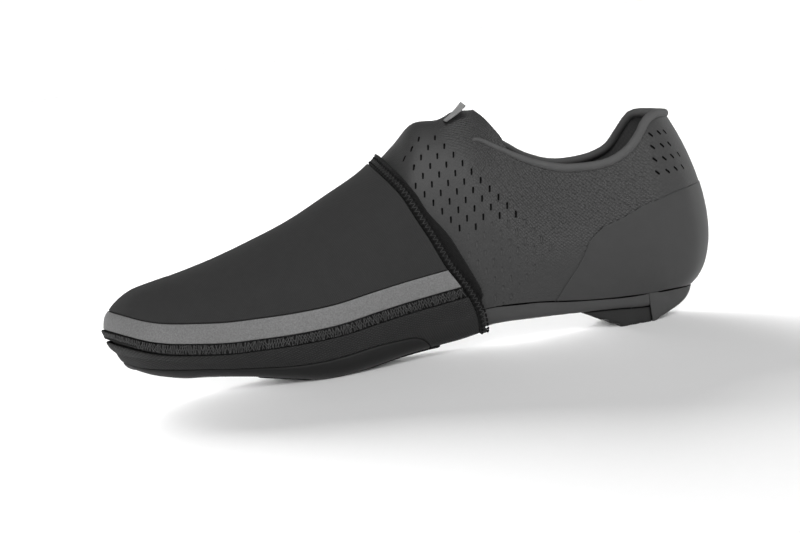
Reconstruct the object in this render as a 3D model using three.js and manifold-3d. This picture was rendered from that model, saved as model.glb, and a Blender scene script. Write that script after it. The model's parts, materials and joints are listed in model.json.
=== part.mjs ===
// A left road-cycling shoe wearing a toe cover, standing empty on its sole.
// Millimetres. X runs from the toe (-X) to the heel (+X), Y from the outer side of the
// foot (-Y) to the inner side (+Y), and Z up from the floor.
// The last is a loop of ribs. Each rib climbs from the edge of the sole to the ridge of
// the foot, or to the rim of the ankle, and runs on below over the sole to its centre line.
import * as THREE from 'three';
import { mergeVertices } from 'three/addons/utils/BufferGeometryUtils.js';
import Module from 'manifold-3d';

const wasm = await Module();
wasm.setup();

// Driving dimensions
const shoeLength = 286.3;      // bare shoe, toe tip to the back of the heel
const ballWidth = 92;          // width of the sole edge across the ball
const instepHeight = 110;      // floor to the top of the instep
const collarHeight = 98;       // floor to the top of the collar at the heel
const archHeight = 19.5;       // floor to the edge of the upper at the arch
const upperWall = 2.2;
const counterWall = 0.85;
const counterStep = 0.4;       // how far the heel counter stands proud of the upper
const insoleThickness = 3;
const tongueThickness = 3.2;
const tongueWidth = 44;
const tongueFront = 0.68;      // its front end, as a share of the shoe length from the heel
const throatWidth = 8;         // slot between the two flaps of the upper
const throatCentre = 7.2;      // its middle, towards the inner side
const throatFront = 0.66;      // its two ends, as shares of the shoe length from the heel
const throatBack = 0.33;
const throatFloor = 0.5;       // and below it no cut, as a share of the instep height
const pipingRadius = 2.15;
const heelPlateInset = 5;
const heelPlateThickness = 3;
const treadInset = 1.5;        // how far the front heel tread stands back from the band
const coverClearance = 0.35;   // cover to shoe
const neopreneWall = 2.5;
const knitWall = 1.6;
const rubberWall = 1.9;
const stripWidth = 9.4;
const stripRecess = 0.6;
const stripProud = 0.25;
const seamWidth = 4.8;
const seamWall = 3.1;
const hemWall = 2.2;
const bindingWidth = 4.5;      // bound edge of the cleat window
const bindingProud = 1.2;
const windowFront = 0.778;     // cleat window, as shares of the shoe length from the heel
const windowBack = 0.478;
const windowWidth = 50;        // both with the bound edge
const tabLength = 12;
const tabWidth = 7;
const tabThickness = 1;
const tabAngle = 33;           // degrees above the floor
const tabAlong = 0.374;        // its middle: share of the shoe length from the heel
const tabUp = 1.001;           // and share of the instep height
const gap = 0.3;               // between pieces that touch on the real shoe

const heelBackX = shoeLength / 2;
const halfBall = ballWidth / 2;
const xAt = (along) => heelBackX - along * shoeLength;

// Each row is a rib at the same share of the length on both sides. Edge: its place on the
// edge of the sole. Top: where it ends, on the ridge or the ankle rim. Fan: how far its end
// turns towards the toe. Along is a share of the shoe length, up of the instep height, and
// the rest, from outer to drop, are shares of half the ball width.
const ribColumns = ['along', 'outer', 'inner', 'topAlong', 'topSide', 'topSkew', 'up',
  'fan', 'belly', 'rise', 'reach', 'drop'];
const ribRows = [
  [0.045, 0.000, 0.000, 0.087, 0.000, 0.000, 1.045, -90, 0.41, 0.22, 0.67, 0.93],
  [0.060, 0.380, 0.380, 0.097, 0.250, 0.000, 1.045, -62, 0.33, 0.26, 0.52, 0.92],
  [0.097, 0.576, 0.576, 0.122, 0.413, 0.000, 1.045, -30, 0.20, 0.32, 0.34, 0.90],
  [0.146, 0.685, 0.685, 0.160, 0.500, 0.000, 1.045, -8, 0.13, 0.40, 0.27, 0.88],
  [0.226, 0.717, 0.707, 0.226, 0.511, 0.000, 1.045, 0, 0.11, 0.44, 0.27, 0.88],
  [0.307, 0.707, 0.663, 0.286, 0.380, 0.000, 1.045, 0, 0.11, 0.48, 0.38, 0.74],
  [0.373, 0.707, 0.641, 0.331, 0.174, 0.000, 1.018, 0, 0.13, 0.56, 0.52, 0.30],
  [0.432, 0.728, 0.652, 0.359, 0.000, 0.000, 0.993, 0, 0.14, 0.58, 0.60, 0.08],
  [0.478, 0.761, 0.674, 0.411, 0.000, 0.000, 0.978, 0, 0.15, 0.58, 0.62, 0.06],
  [0.520, 0.793, 0.707, 0.457, 0.000, 0.022, 0.981, 0, 0.16, 0.56, 0.63, 0.05],
  [0.555, 0.837, 0.761, 0.495, 0.000, 0.043, 0.901, 0, 0.16, 0.54, 0.64, 0.04],
  [0.597, 0.902, 0.848, 0.548, 0.000, 0.065, 0.798, 0, 0.16, 0.50, 0.65, 0.03],
  [0.645, 0.957, 0.941, 0.611, 0.000, 0.087, 0.718, 0, 0.15, 0.46, 0.66, 0.02],
  [0.701, 0.972, 1.015, 0.680, 0.000, 0.109, 0.637, 0, 0.14, 0.41, 0.67, 0.02],
  [0.761, 0.924, 1.028, 0.750, 0.000, 0.130, 0.576, 0, 0.13, 0.37, 0.67, 0.01],
  [0.824, 0.804, 0.978, 0.820, 0.000, 0.163, 0.524, 0, 0.13, 0.33, 0.65, 0.01],
  [0.876, 0.630, 0.891, 0.882, 0.000, 0.196, 0.488, 10, 0.13, 0.30, 0.68, 0.00],
  [0.921, 0.435, 0.739, 0.882, 0.000, 0.196, 0.488, 35, 0.15, 0.28, 0.78, -0.03],
  [0.956, 0.174, 0.554, 0.882, 0.000, 0.196, 0.488, 62, 0.18, 0.26, 0.89, -0.06],
  [0.980, -0.217, 0.217, 0.882, 0.000, 0.196, 0.488, 90, 0.19, 0.24, 0.96, -0.08],
];
const ridgeFirst = 7;          // the first row that ends on the ridge, not on the ankle rim
const toeFan = 16;             // the first row that ends at the toe's pole
const heelTurn = 3;            // the rows before this one turn round the heel
const pipingEnd = 6.9;         // the row, counted along the loop, where the piping ends
const pipingPoints = 28;
const pipingSteps = 34;

// Heights along the sole: along as a share of the shoe length, up of the arch height
const upperEdge = [
  [0.045, 0.646], [0.094, 0.682], [0.170, 0.713], [0.244, 0.810], [0.307, 0.933],
  [0.349, 0.979], [0.387, 1.000], [0.436, 0.954], [0.506, 0.800], [0.576, 0.615],
  [0.638, 0.513], [0.708, 0.554], [0.775, 0.718], [0.838, 0.862], [0.890, 0.990],
  [0.932, 1.128], [0.963, 1.282], [0.981, 1.359],
];
const soleBottom = [
  [0.048, 0.359], [0.132, 0.374], [0.191, 0.451], [0.246, 0.503], [0.326, 0.559],
  [0.387, 0.579], [0.450, 0.440], [0.520, 0.350], [0.590, 0.184], [0.645, 0.100],
  [0.680, 0.125], [0.722, 0.235], [0.761, 0.345], [0.799, 0.445], [0.866, 0.570],
  [0.904, 0.620], [0.939, 0.730], [0.974, 0.920],
];
const heelBottom = [
  [0.045, 0.600], [0.066, 0.330], [0.090, 0.180], [0.112, 0.070], [0.128, -0.020],
  [0.160, -0.060], [0.190, -0.050], [0.205, 0.185], [0.222, 0.340], [0.246, 0.490],
  [0.296, 0.530],
];
// How the sole's lower corner is rounded: its width as a share of half the ball width, and
// the power of its curve, crisp at the heel and soft under the cover
const cornerRound = [
  [0.04, 0.10, 0.40], [0.25, 0.10, 0.40], [0.42, 0.14, 0.50], [0.52, 0.26, 0.70],
  [0.62, 0.32, 0.80], [0.82, 0.32, 0.80], [0.90, 0.22, 0.66], [1.00, 0.16, 0.60],
];
const bumperFront = 0.132;
const treadFront = 0.246;

// Lines on the side of the shoe: along as a share of the shoe length, up of the collar height
const flapBack = [[0.352, 1.153], [0.355, 1.080], [0.363, 1.010]];
const collarOuter = [
  [0.017, 0.926], [0.062, 0.948], [0.085, 0.925], [0.104, 0.863], [0.126, 0.808],
  [0.156, 0.768], [0.184, 0.758], [0.212, 0.762], [0.237, 0.780], [0.268, 0.823],
  [0.298, 0.882], [0.327, 0.945], [0.363, 1.010],
];
const collarInner = [
  [0.017, 0.926], [0.062, 0.951], [0.085, 0.948], [0.104, 0.887], [0.126, 0.813],
  [0.156, 0.777], [0.184, 0.768], [0.212, 0.764], [0.237, 0.764], [0.268, 0.777],
  [0.298, 0.814], [0.327, 0.880], [0.363, 1.000],
];
const tongueBack = [
  [0.350, 1.160], [0.351, 1.100], [0.336, 1.035], [0.324, 0.970], [0.321, 0.830],
];
const counterTop = [
  [0.291, 0.150], [0.263, 0.250], [0.241, 0.321], [0.228, 0.373], [0.218, 0.422],
  [0.206, 0.455], [0.188, 0.485], [0.154, 0.513], [0.118, 0.551], [0.087, 0.569],
  [0.059, 0.588], [-0.018, 0.612],
];
const hemFront = [
  [0.549, 1.030], [0.536, 0.939], [0.505, 0.796], [0.487, 0.673], [0.471, 0.565],
  [0.452, 0.423], [0.435, 0.333], [0.423, 0.258], [0.414, 0.171], [0.414, -0.051],
];
const hemBack = [
  [0.533, 1.060], [0.522, 0.990], [0.499, 0.886], [0.479, 0.783], [0.466, 0.692],
  [0.440, 0.573], [0.422, 0.449], [0.398, 0.273], [0.388, 0.209], [0.387, -0.051],
];
const stripBottom = [
  [1.030, 0.383], [1.009, 0.372], [0.977, 0.342], [0.942, 0.304], [0.911, 0.281],
  [0.869, 0.264], [0.815, 0.248], [0.771, 0.244], [0.705, 0.241], [0.638, 0.249],
  [0.570, 0.276], [0.502, 0.299], [0.384, 0.331],
];
const rubberTop = [
  [1.030, 0.255], [0.995, 0.209], [0.961, 0.174], [0.911, 0.153], [0.848, 0.133],
  [0.782, 0.111], [0.715, 0.092], [0.649, 0.095], [0.581, 0.117], [0.541, 0.122],
  [0.513, 0.098], [0.501, 0.061], [0.494, 0.031], [0.492, -0.100],
];

// A smooth curve through a table's rows, as a function of the place along the shoe
function heightAlong(rows, unit) {
  return (x) => {
    const along = (heelBackX - x) / shoeLength;
    const last = rows.length - 1;
    let k = 0;
    while (k < last - 1 && rows[k + 1][0] < along) k += 1;
    const span = rows[k + 1][0] - rows[k][0];
    const t = THREE.MathUtils.clamp((along - rows[k][0]) / span, 0, 1);
    const slope = (j) => {
      const a = rows[Math.max(j - 1, 0)];
      const b = rows[Math.min(j + 1, last)];
      return (b[1] - a[1]) / (b[0] - a[0]);
    };
    const h00 = 2 * t ** 3 - 3 * t ** 2 + 1;
    const h10 = t ** 3 - 2 * t ** 2 + t;
    const h01 = 3 * t ** 2 - 2 * t ** 3;
    const h11 = t ** 3 - t ** 2;
    return unit * (h00 * rows[k][1] + h01 * rows[k + 1][1]
      + span * (h10 * slope(k) + h11 * slope(k + 1)));
  };
}

const edgeHeight = heightAlong(upperEdge, archHeight);
const soleHeight = heightAlong(soleBottom, archHeight);
const heelHeight = heightAlong(heelBottom, archHeight);

// The rows as named values, and the loop that goes round the shoe: heel, outer side, toe,
// inner side
const ribs = ribRows.map((row) => Object.fromEntries(ribColumns.map((c, k) => [c, row[k]])));
const lastRib = ribs.length - 1;
const loop = [
  ...ribs.map((rib) => ({ rib, side: -1, half: rib.outer })),
  ...ribs.slice(1, lastRib).reverse().map((rib) => ({ rib, side: 1, half: rib.inner })),
];
const edgeLoop = new THREE.CatmullRomCurve3(loop.map(({ rib, side, half }) => {
  const x = xAt(rib.along);
  return new THREE.Vector3(x, side * half * halfBall, edgeHeight(x));
}), true, 'catmullrom');
const outwardAt = (u) => {
  const along = edgeLoop.getTangent((u + 1) % 1);
  return new THREE.Vector3(along.y, -along.x, 0).normalize().negate();
};

// The four control points of a rib, as closed curves round the shoe
const ridgeSlope = (rib, k) => {
  if (k < ridgeFirst) return 0;
  const before = ribs[Math.min(k, toeFan) - 1];
  const after = ribs[Math.min(k + 1, toeFan)];
  const run = (after.topAlong - before.topAlong) * shoeLength;
  return (before.up - after.up) * instepHeight / run;
};
const topPoint = (rib, side) => new THREE.Vector3(xAt(rib.topAlong),
  (rib.topSkew + side * rib.topSide) * halfBall, rib.up * instepHeight);
const controls = {
  top: loop.map(({ rib, side }) => topPoint(rib, side)),
  low: loop.map(({ rib }, k) => outwardAt(k / loop.length).multiplyScalar(rib.belly * halfBall)
    .add(new THREE.Vector3(0, 0, rib.rise * halfBall))),
  high: loop.map(({ rib, side }) => {
    const fan = THREE.MathUtils.degToRad(rib.fan);
    const reach = rib.reach * halfBall;
    const slope = ridgeSlope(rib, ribs.indexOf(rib));
    return new THREE.Vector3(-Math.sin(fan) * reach, side * Math.cos(fan) * reach,
      -rib.drop * halfBall - slope * Math.max(Math.sin(fan), 0) * reach);
  }),
};
const curves = Object.fromEntries(Object.entries(controls).map(([name, points]) =>
  [name, new THREE.CatmullRomCurve3(points, true, 'catmullrom')]));

// The surface of the last: u runs round the loop, t from -1, the middle of the sole, past
// 0, its edge, to 1, the ridge. The corner of the sole is a squarish quarter round.
const cornerShare = 0.6;
const cornerInset = heightAlong(cornerRound.map(([along, inset]) => [along, inset]), halfBall);
const cornerPower = heightAlong(cornerRound.map(([along, , power]) => [along, power]), 1);
const spineFront = 0.872;
const spineBack = 0.14;
const spineSkew = 0.2;
const soleSpine = (x) => THREE.MathUtils.clamp(x, xAt(spineFront), xAt(spineBack));
function surfacePoint(u, t, bottomHeight = soleHeight, inset = 0) {
  const v = (u + 1) % 1;
  const edge = edgeLoop.getPoint(v);
  if (t >= 0) {
    const top = curves.top.getPoint(v);
    const low = edge.clone().add(curves.low.getPoint(v));
    const high = top.clone().add(curves.high.getPoint(v));
    return new THREE.CubicBezierCurve3(edge, low, high, top).getPoint(t);
  }
  const inward = outwardAt(v).negate();
  edge.addScaledVector(inward, inset);
  const height = edge.z - bottomHeight(edge.x);
  const angle = Math.min(-t / cornerShare, 1) * Math.PI / 2;
  const corner = edge.clone().addScaledVector(inward,
    cornerInset(edge.x) * (1 - Math.max(Math.cos(angle), 0) ** cornerPower(edge.x)));
  corner.z = edge.z - height * Math.sin(angle) ** cornerPower(edge.x);
  const spineX = soleSpine(edge.x);
  const skew = spineSkew * halfBall * (heelBackX - spineX) / shoeLength;
  const middle = new THREE.Vector3(spineX, skew, bottomHeight(spineX));
  const past = Math.max((-t - cornerShare) / (1 - cornerShare), 0);
  return corner.lerp(middle, past);
}

function surfaceNormal(u, t, bottomHeight, inset) {
  const du = 0.004;
  const dt = 0.02;
  const tIn = THREE.MathUtils.clamp(t, -0.96, 0.97);
  const at = (a, b) => surfacePoint(a, b, bottomHeight, inset);
  const alongLoop = at(u + du, tIn).sub(at(u - du, tIn));
  const upRib = at(u, tIn + dt).sub(at(u, tIn - dt));
  return upRib.cross(alongLoop).normalize();
}

// Where the ribs of the solids stand round the loop, closer at the heel and the toe
const stations = ribs.slice(0, lastRib).flatMap((rib, k) => {
  const u = k / loop.length;
  const next = (k + 0.5) / loop.length;
  return k < heelTurn || k >= toeFan - 1 ? [u, next] : [u];
});
stations.push(...[0.5, ...stations.slice(1).reverse().map((u) => 1 - u)]);
const ribCount = stations.length;
const stationOf = (row) => stations.indexOf(row / loop.length);
const upperSteps = [0, 0.1, 0.23, 0.4, 0.6, 0.8, 1];
const soleSteps = [-1, -0.6, -0.4, -0.2, -0.06];

// Rings of points round the shoe at each t, moved out by offset along the surface
function ringAt(t, offset, bottomHeight, inset) {
  const points = [];
  for (const u of stations) {
    const normal = surfaceNormal(u, t, bottomHeight, inset);
    points.push(surfacePoint(u, t, bottomHeight, inset).addScaledVector(normal, offset));
  }
  if (t === 1) closeRidge(points, offset);
  if (t === -1) closeSole(points, offset, bottomHeight);
  return points;
}

// Both sides share their points on the ridge, and the toe fan shares its pole
function closeRidge(points, offset) {
  const first = stationOf(ridgeFirst);
  const pole = stationOf(toeFan);
  const ridge = (i) => surfacePoint(stations[i], 1).add(surfacePoint(1 - stations[i], 1))
    .multiplyScalar(0.5);
  for (let i = first; i <= ribCount / 2; i += 1) {
    const k = Math.min(i, pole);
    const run = ridge(Math.max(k - 1, first)).sub(ridge(Math.min(k + 1, pole)));
    const up = new THREE.Vector3(-run.z, 0, run.x).normalize();
    const point = ridge(k).addScaledVector(up, offset);
    points[i] = point;
    points[(ribCount - i) % ribCount] = point.clone();
  }
}

function closeSole(points, offset, bottomHeight) {
  for (let i = 0; i <= ribCount / 2; i += 1) {
    const point = surfacePoint(stations[i], -1, bottomHeight);
    point.add(surfacePoint(1 - stations[i], -1, bottomHeight)).multiplyScalar(0.5);
    point.z -= offset;
    points[i] = point;
    points[(ribCount - i) % ribCount] = point.clone();
  }
}

// A closed solid from rings of equal count: walls between rings, and across each end a
// ladder that joins the two sides
function solidFromRings(rings) {
  const count = rings[0].length;
  const positions = rings.flat().flatMap((p) => [p.x, p.y, p.z]);
  const faces = [];
  for (let j = 0; j < rings.length - 1; j += 1) {
    for (let i = 0; i < count; i += 1) {
      const a = j * count + i;
      const b = j * count + (i + 1) % count;
      faces.push(a, a + count, b + count, a, b + count, b);
    }
  }
  const top = (rings.length - 1) * count;
  for (let i = 0; i < count / 2; i += 1) {
    const mirror = (count - i) % count;
    const next = count - i - 1;
    faces.push(top + i, top + mirror, top + i + 1, top + i + 1, top + mirror, top + next);
    faces.push(mirror, i, i + 1, mirror, i + 1, next);
  }
  const geometry = new THREE.BufferGeometry();
  geometry.setAttribute('position', new THREE.Float32BufferAttribute(positions, 3));
  geometry.setIndex(faces);
  return toSolid(geometry);
}

function toSolid(geometry) {
  geometry.deleteAttribute('normal');
  geometry.deleteAttribute('uv');
  const merged = mergeVertices(geometry, 1e-3);
  const index = merged.index.array;
  const kept = [];
  for (let k = 0; k < index.length; k += 3) {
    const [a, b, c] = [index[k], index[k + 1], index[k + 2]];
    if (a !== b && b !== c && a !== c) kept.push(a, b, c);
  }
  const vertProperties = new Float32Array(merged.attributes.position.array);
  const triVerts = new Uint32Array(kept);
  return new wasm.Manifold(new wasm.Mesh({ numProp: 3, vertProperties, triVerts }));
}

const lowered = (ring, drop) => ring.map((p) => new THREE.Vector3(p.x, p.y, p.z - drop));

// The foot's side of the form: open reach adds a skirt below the edge and above the rim
function upperForm(offset, openReach = 0) {
  const rings = upperSteps.map((t) => ringAt(t, offset));
  if (openReach > 0) {
    rings.unshift(lowered(rings[0], openReach));
  }
  return solidFromRings(rings);
}

function wholeForm(offset) {
  const steps = [...soleSteps, ...upperSteps];
  return solidFromRings(steps.map((t) => ringAt(t, offset)));
}

function soleForm(bottomHeight, inset = 0) {
  const rings = soleSteps.map((t) => ringAt(t, 0, bottomHeight, inset));
  const edge = ringAt(0, 0, bottomHeight, 0);
  const insetEdge = edge.map((p, i) => p.clone().addScaledVector(
    outwardAt(stations[i]), -inset));
  return solidFromRings([...rings, insetEdge]);
}

// A prism across the shoe, from an outline in side view
const reachY = 90;
function sidePrism(outline, yFrom = -reachY, yTo = reachY) {
  const shape = new THREE.Shape(outline.map(([x, z]) => new THREE.Vector2(x, z)));
  const geometry = new THREE.ExtrudeGeometry(shape, { depth: yTo - yFrom, bevelEnabled: false });
  geometry.rotateX(Math.PI / 2);
  geometry.translate(0, yTo, 0);
  return toSolid(geometry);
}

const sideLine = (rows) => rows.map(([along, up]) => [xAt(along), up * collarHeight]);
// Moves a side line along X and up
const shifted = (line, dx, dz) => line.map(([x, z]) => [x + dx, z + dz]);
const farToe = xAt(1.2);
const farHeel = xAt(-0.2);
const farUp = instepHeight * 1.6;
const farDown = -archHeight * 3;

// Everything above, below, behind or in front of a side line that runs along the shoe
const above = (line) => {
  const sorted = [...line].sort((a, b) => a[0] - b[0]);
  return sidePrism([...sorted, [farHeel, sorted.at(-1)[1]], [farHeel, farUp],
    [farToe, farUp], [farToe, sorted[0][1]]]);
};
const below = (line) => {
  const sorted = [...line].sort((a, b) => a[0] - b[0]);
  return sidePrism([...sorted, [farHeel, sorted.at(-1)[1]], [farHeel, farDown],
    [farToe, farDown], [farToe, sorted[0][1]]]);
};
const inFrontOf = (line) => sidePrism([...line, [farToe, line.at(-1)[1]],
  [farToe, line[0][1]]]);
const soleLinePoints = 24;
const soleLine = (heightOf, dz, from = 1.0, to = 0.02) => {
  const points = [];
  for (let k = 0; k <= soleLinePoints; k += 1) {
    const x = xAt(from + (to - from) * k / soleLinePoints);
    points.push([x, heightOf(x) + dz]);
  }
  return points;
};
const block = (xFrom, xTo, yFrom, yTo, zFrom, zTo) => {
  const geometry = new THREE.BoxGeometry(xTo - xFrom, yTo - yFrom, zTo - zFrom);
  geometry.translate((xFrom + xTo) / 2, (yFrom + yTo) / 2, (zFrom + zTo) / 2);
  return toSolid(geometry);
};

const underFloor = block(farToe, farHeel, -reachY, reachY, farDown, 0);
const onFloor = (solid) => solid.subtract(underFloor);

// Sole
function makeOutsole() {
  const plateTop = below(soleLine(edgeHeight, -gap));
  const innerPlate = soleForm(soleHeight, heelPlateInset)
    .intersect(above(soleLine(edgeHeight, -gap - heelPlateThickness)));
  const body = soleForm(soleHeight)
    .subtract(block(xAt(bumperFront) - gap / 2, farHeel, -reachY, reachY, farDown, farUp));
  return body.add(innerPlate).intersect(plateTop);
}

function makeBumper() {
  const room = soleForm(soleHeight, heelPlateInset - gap)
    .intersect(above(soleLine(edgeHeight, -2 * gap - heelPlateThickness)));
  const behind = block(xAt(bumperFront) + gap / 2, farHeel, -reachY, reachY, farDown, farUp);
  return onFloor(soleForm(heelHeight).intersect(behind)
    .intersect(below(soleLine(edgeHeight, -gap))).subtract(room));
}

function makeHeelTread() {
  const span = block(xAt(treadFront), xAt(bumperFront) - gap / 2, -reachY, reachY,
    farDown, farUp);
  return onFloor(soleForm(heelHeight, treadInset).intersect(span)
    .intersect(below(soleLine(soleHeight, -gap))));
}

function makeInsole() {
  const slab = above(soleLine(edgeHeight, 0))
    .intersect(below(soleLine(edgeHeight, insoleThickness)));
  return upperForm(-upperWall - gap, archHeight).intersect(slab);
}

// Upper: a hollow shell, open underneath, at the collar and along the throat
const pipingSeat = 0.8;        // how much of its radius it stands above the rim
const collarOn = { [-1]: heightAlong(collarOuter, collarHeight),
  [1]: heightAlong(collarInner, collarHeight) };
const overCollar = (rows, yFrom, yTo) => {
  const collar = sideLine(rows).sort((a, b) => a[0] - b[0]);
  return sidePrism([...sideLine(flapBack), ...collar.slice(1), [farHeel, collar.at(-1)[1]],
    [farHeel, farUp], [xAt(flapBack[0][0]), farUp]], yFrom, yTo);
};
const counterArea = (() => {
  const line = sideLine(counterTop);
  return sidePrism([[line[0][0], farDown], ...line, [farHeel, line.at(-1)[1]],
    [farHeel, farDown]]);
})();

function makeUpper() {
  const hollow = upperForm(-upperWall, archHeight);
  const counterSeat = upperForm(counterStep + counterWall).subtract(upperForm(counterStep - counterWall
    - gap)).intersect(counterArea);
  const throat = block(xAt(throatFront), xAt(throatBack), throatCentre - throatWidth / 2,
    throatCentre + throatWidth / 2, instepHeight * throatFloor, farUp);
  return upperForm(0).subtract(hollow)
    .subtract(overCollar(collarOuter, -reachY, 0))
    .subtract(overCollar(collarInner, 0, reachY))
    .subtract(counterSeat)
    .subtract(throat)
    .subtract(pipingTube(pipingRadius + gap));
}

function makeCounter() {
  const line = sideLine(counterTop);
  const area = sidePrism([[line[0][0] + gap, farDown], ...shifted(line, gap, -gap),
    [farHeel, line.at(-1)[1] - gap], [farHeel, farDown]]);
  const wall = upperForm(counterStep).subtract(upperForm(counterStep - counterWall, archHeight));
  return wall.intersect(area);
}

// Piping that rolls over the collar, from one flap round the heel to the other: on each rib
// it lies where the wall meets the collar's height
function pipingPoint(u) {
  const v = (u + 1) % 1;
  const side = v < 0.5 ? -1 : 1;
  let low = 0;
  let high = 1;
  for (let n = 0; n < 20; n += 1) {
    const middle = (low + high) / 2;
    const point = surfacePoint(v, middle);
    if (point.z < collarOn[side](point.x)) low = middle;
    else high = middle;
  }
  const point = surfacePoint(v, low).addScaledVector(surfaceNormal(v, low), -upperWall / 2);
  point.z += pipingRadius * pipingSeat;
  return point;
}

function pipingTube(radius) {
  const reach = pipingEnd / loop.length;
  const points = [];
  for (let k = 0; k <= pipingPoints; k += 1) {
    points.push(pipingPoint(reach * (1 - 2 * k / pipingPoints)));
  }
  const path = new THREE.CatmullRomCurve3(points, false, 'centripetal');
  const section = new THREE.Shape();
  section.absarc(0, 0, radius, 0, Math.PI * 2);
  const geometry = new THREE.ExtrudeGeometry(section, {
    extrudePath: path, steps: pipingSteps, curveSegments: 4, bevelEnabled: false });
  return toSolid(geometry);
}

function makeTongue() {
  const outside = -upperWall - gap;
  const sheet = upperForm(outside).subtract(upperForm(outside - tongueThickness, archHeight));
  const span = block(xAt(tongueFront), farHeel, throatCentre - tongueWidth / 2,
    throatCentre + tongueWidth / 2, instepHeight * throatFloor, farUp);
  const back = sideLine(tongueBack);
  return sheet.intersect(span).intersect(inFrontOf([...back, [back.at(-1)[0], farDown]]))
    .subtract(pipingTube(pipingRadius + gap));
}

function makeTab() {
  const geometry = new THREE.BoxGeometry(tabLength, tabWidth, tabThickness, 4, 1, 1);
  geometry.rotateY(THREE.MathUtils.degToRad(-tabAngle));
  return geometry;
}

// Toe cover
const hemFrontLine = sideLine(hemFront);
const hemBackLine = sideLine(hemBack);
const stripLow = sideLine(stripBottom);
const rubberLine = sideLine(rubberTop);
const coverBack = inFrontOf(shifted(hemFrontLine, -gap, 0));
const rubberArea = (dx, dz) => sidePrism([...shifted(rubberLine, dx, dz),
  [rubberLine.at(-1)[0] + dx, farDown], [farToe, farDown]]);

const coverWall = (wall, from = 0) => wholeForm(coverClearance + wall)
  .subtract(wholeForm(coverClearance + from));

function makeCoverTop() {
  const recess = below(shifted(stripLow, 0, stripWidth + gap))
    .subtract(wholeForm(coverClearance + neopreneWall - stripRecess));
  return coverWall(neopreneWall).intersect(coverBack).intersect(above(stripLow))
    .subtract(recess);
}

function makeCoverStrip() {
  return coverWall(neopreneWall + stripProud, neopreneWall - stripRecess + gap)
    .intersect(coverBack).intersect(above(shifted(stripLow, 0, gap)))
    .intersect(below(shifted(stripLow, 0, stripWidth)));
}

function makeCoverSeam() {
  return coverWall(seamWall).intersect(coverBack)
    .intersect(below(shifted(stripLow, 0, -gap)))
    .intersect(above(shifted(stripLow, 0, -seamWidth)));
}

const windowBlock = (grow) => block(xAt(windowFront) - grow, xAt(windowBack) + grow,
  -windowWidth / 2 - grow, windowWidth / 2 + grow, farDown, archHeight);

function makeCoverSide() {
  return onFloor(coverWall(knitWall).intersect(coverBack)
    .intersect(below(shifted(stripLow, 0, -seamWidth - gap)))
    .subtract(rubberArea(gap, gap)).subtract(windowBlock(gap)));
}

function makeCoverSole() {
  const sheet = coverWall(rubberWall).intersect(rubberArea(0, 0));
  return onFloor(sheet.subtract(windowBlock(gap)));
}

function makeCoverBinding() {
  const frame = windowBlock(0).subtract(windowBlock(-bindingWidth));
  return onFloor(coverWall(rubberWall + bindingProud).intersect(frame));
}

function makeCoverHem() {
  const ring = inFrontOf(hemBackLine).subtract(inFrontOf(hemFrontLine));
  return onFloor(coverWall(hemWall).intersect(ring));
}

// Assembly
const finishes = {
  coatedKnit: { color: '#3c3d3f', roughness: 0.75, metalness: 0 },
  counterFilm: { color: '#45474a', roughness: 0.5, metalness: 0 },
  piping: { color: '#2f3032', roughness: 0.8, metalness: 0 },
  liningKnit: { color: '#2a2b2c', roughness: 0.9, metalness: 0 },
  soleShell: { color: '#333436', roughness: 0.45, metalness: 0 },
  heelRubber: { color: '#4a4c4e', roughness: 0.7, metalness: 0 },
  treadRubber: { color: '#232425', roughness: 0.8, metalness: 0 },
  wovenTape: { color: '#8c8f92', roughness: 0.8, metalness: 0 },
  neoprene: { color: '#333436', roughness: 0.85, metalness: 0 },
  reflective: { color: '#83868a', roughness: 0.4, metalness: 0.2 },
  seamThread: { color: '#1b1b1c', roughness: 0.9, metalness: 0 },
  ribKnit: { color: '#38393b', roughness: 0.9, metalness: 0 },
  gripRubber: { color: '#1c1d1e', roughness: 0.7, metalness: 0 },
};

function toGeometry(solid) {
  const { vertProperties, triVerts, numProp } = solid.getMesh();
  const positions = [];
  for (let k = 0; k < vertProperties.length; k += numProp) {
    positions.push(...vertProperties.slice(k, k + 3));
  }
  const geometry = new THREE.BufferGeometry();
  geometry.setAttribute('position', new THREE.Float32BufferAttribute(positions, 3));
  geometry.setIndex([...triVerts]);
  return geometry;
}

function piece(name, shape, finish) {
  const geometry = shape.isBufferGeometry ? shape : toGeometry(shape);
  const mesh = new THREE.Mesh(geometry, new THREE.MeshStandardMaterial(finishes[finish]));
  mesh.name = name;
  return mesh;
}

const shoe = new THREE.Group();
shoe.add(
  piece('outsole', makeOutsole(), 'soleShell'),
  piece('heel_bumper', makeBumper(), 'heelRubber'),
  piece('heel_tread', makeHeelTread(), 'treadRubber'),
  piece('insole', makeInsole(), 'liningKnit'),
  piece('upper', makeUpper(), 'coatedKnit'),
  piece('heel_counter', makeCounter(), 'counterFilm'),
  piece('collar_piping', pipingTube(pipingRadius), 'piping'),
  piece('tongue', makeTongue(), 'liningKnit'),
  piece('cover_top', makeCoverTop(), 'neoprene'),
  piece('cover_strip', makeCoverStrip(), 'reflective'),
  piece('cover_seam', makeCoverSeam(), 'seamThread'),
  piece('cover_side', makeCoverSide(), 'ribKnit'),
  piece('cover_sole', makeCoverSole(), 'gripRubber'),
  piece('cover_binding', makeCoverBinding(), 'seamThread'),
  piece('cover_hem', makeCoverHem(), 'seamThread'),
);

const tab = piece('tongue_tab', makeTab(), 'wovenTape');
tab.position.set(xAt(tabAlong), throatCentre, instepHeight * tabUp);
shoe.add(tab);

// The floor stands under the middle of the whole
shoe.updateMatrixWorld(true);
const whole = new THREE.Box3().setFromObject(shoe);
shoe.position.set(-(whole.min.x + whole.max.x) / 2, -(whole.min.y + whole.max.y) / 2, 0);

export default shoe;
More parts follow.
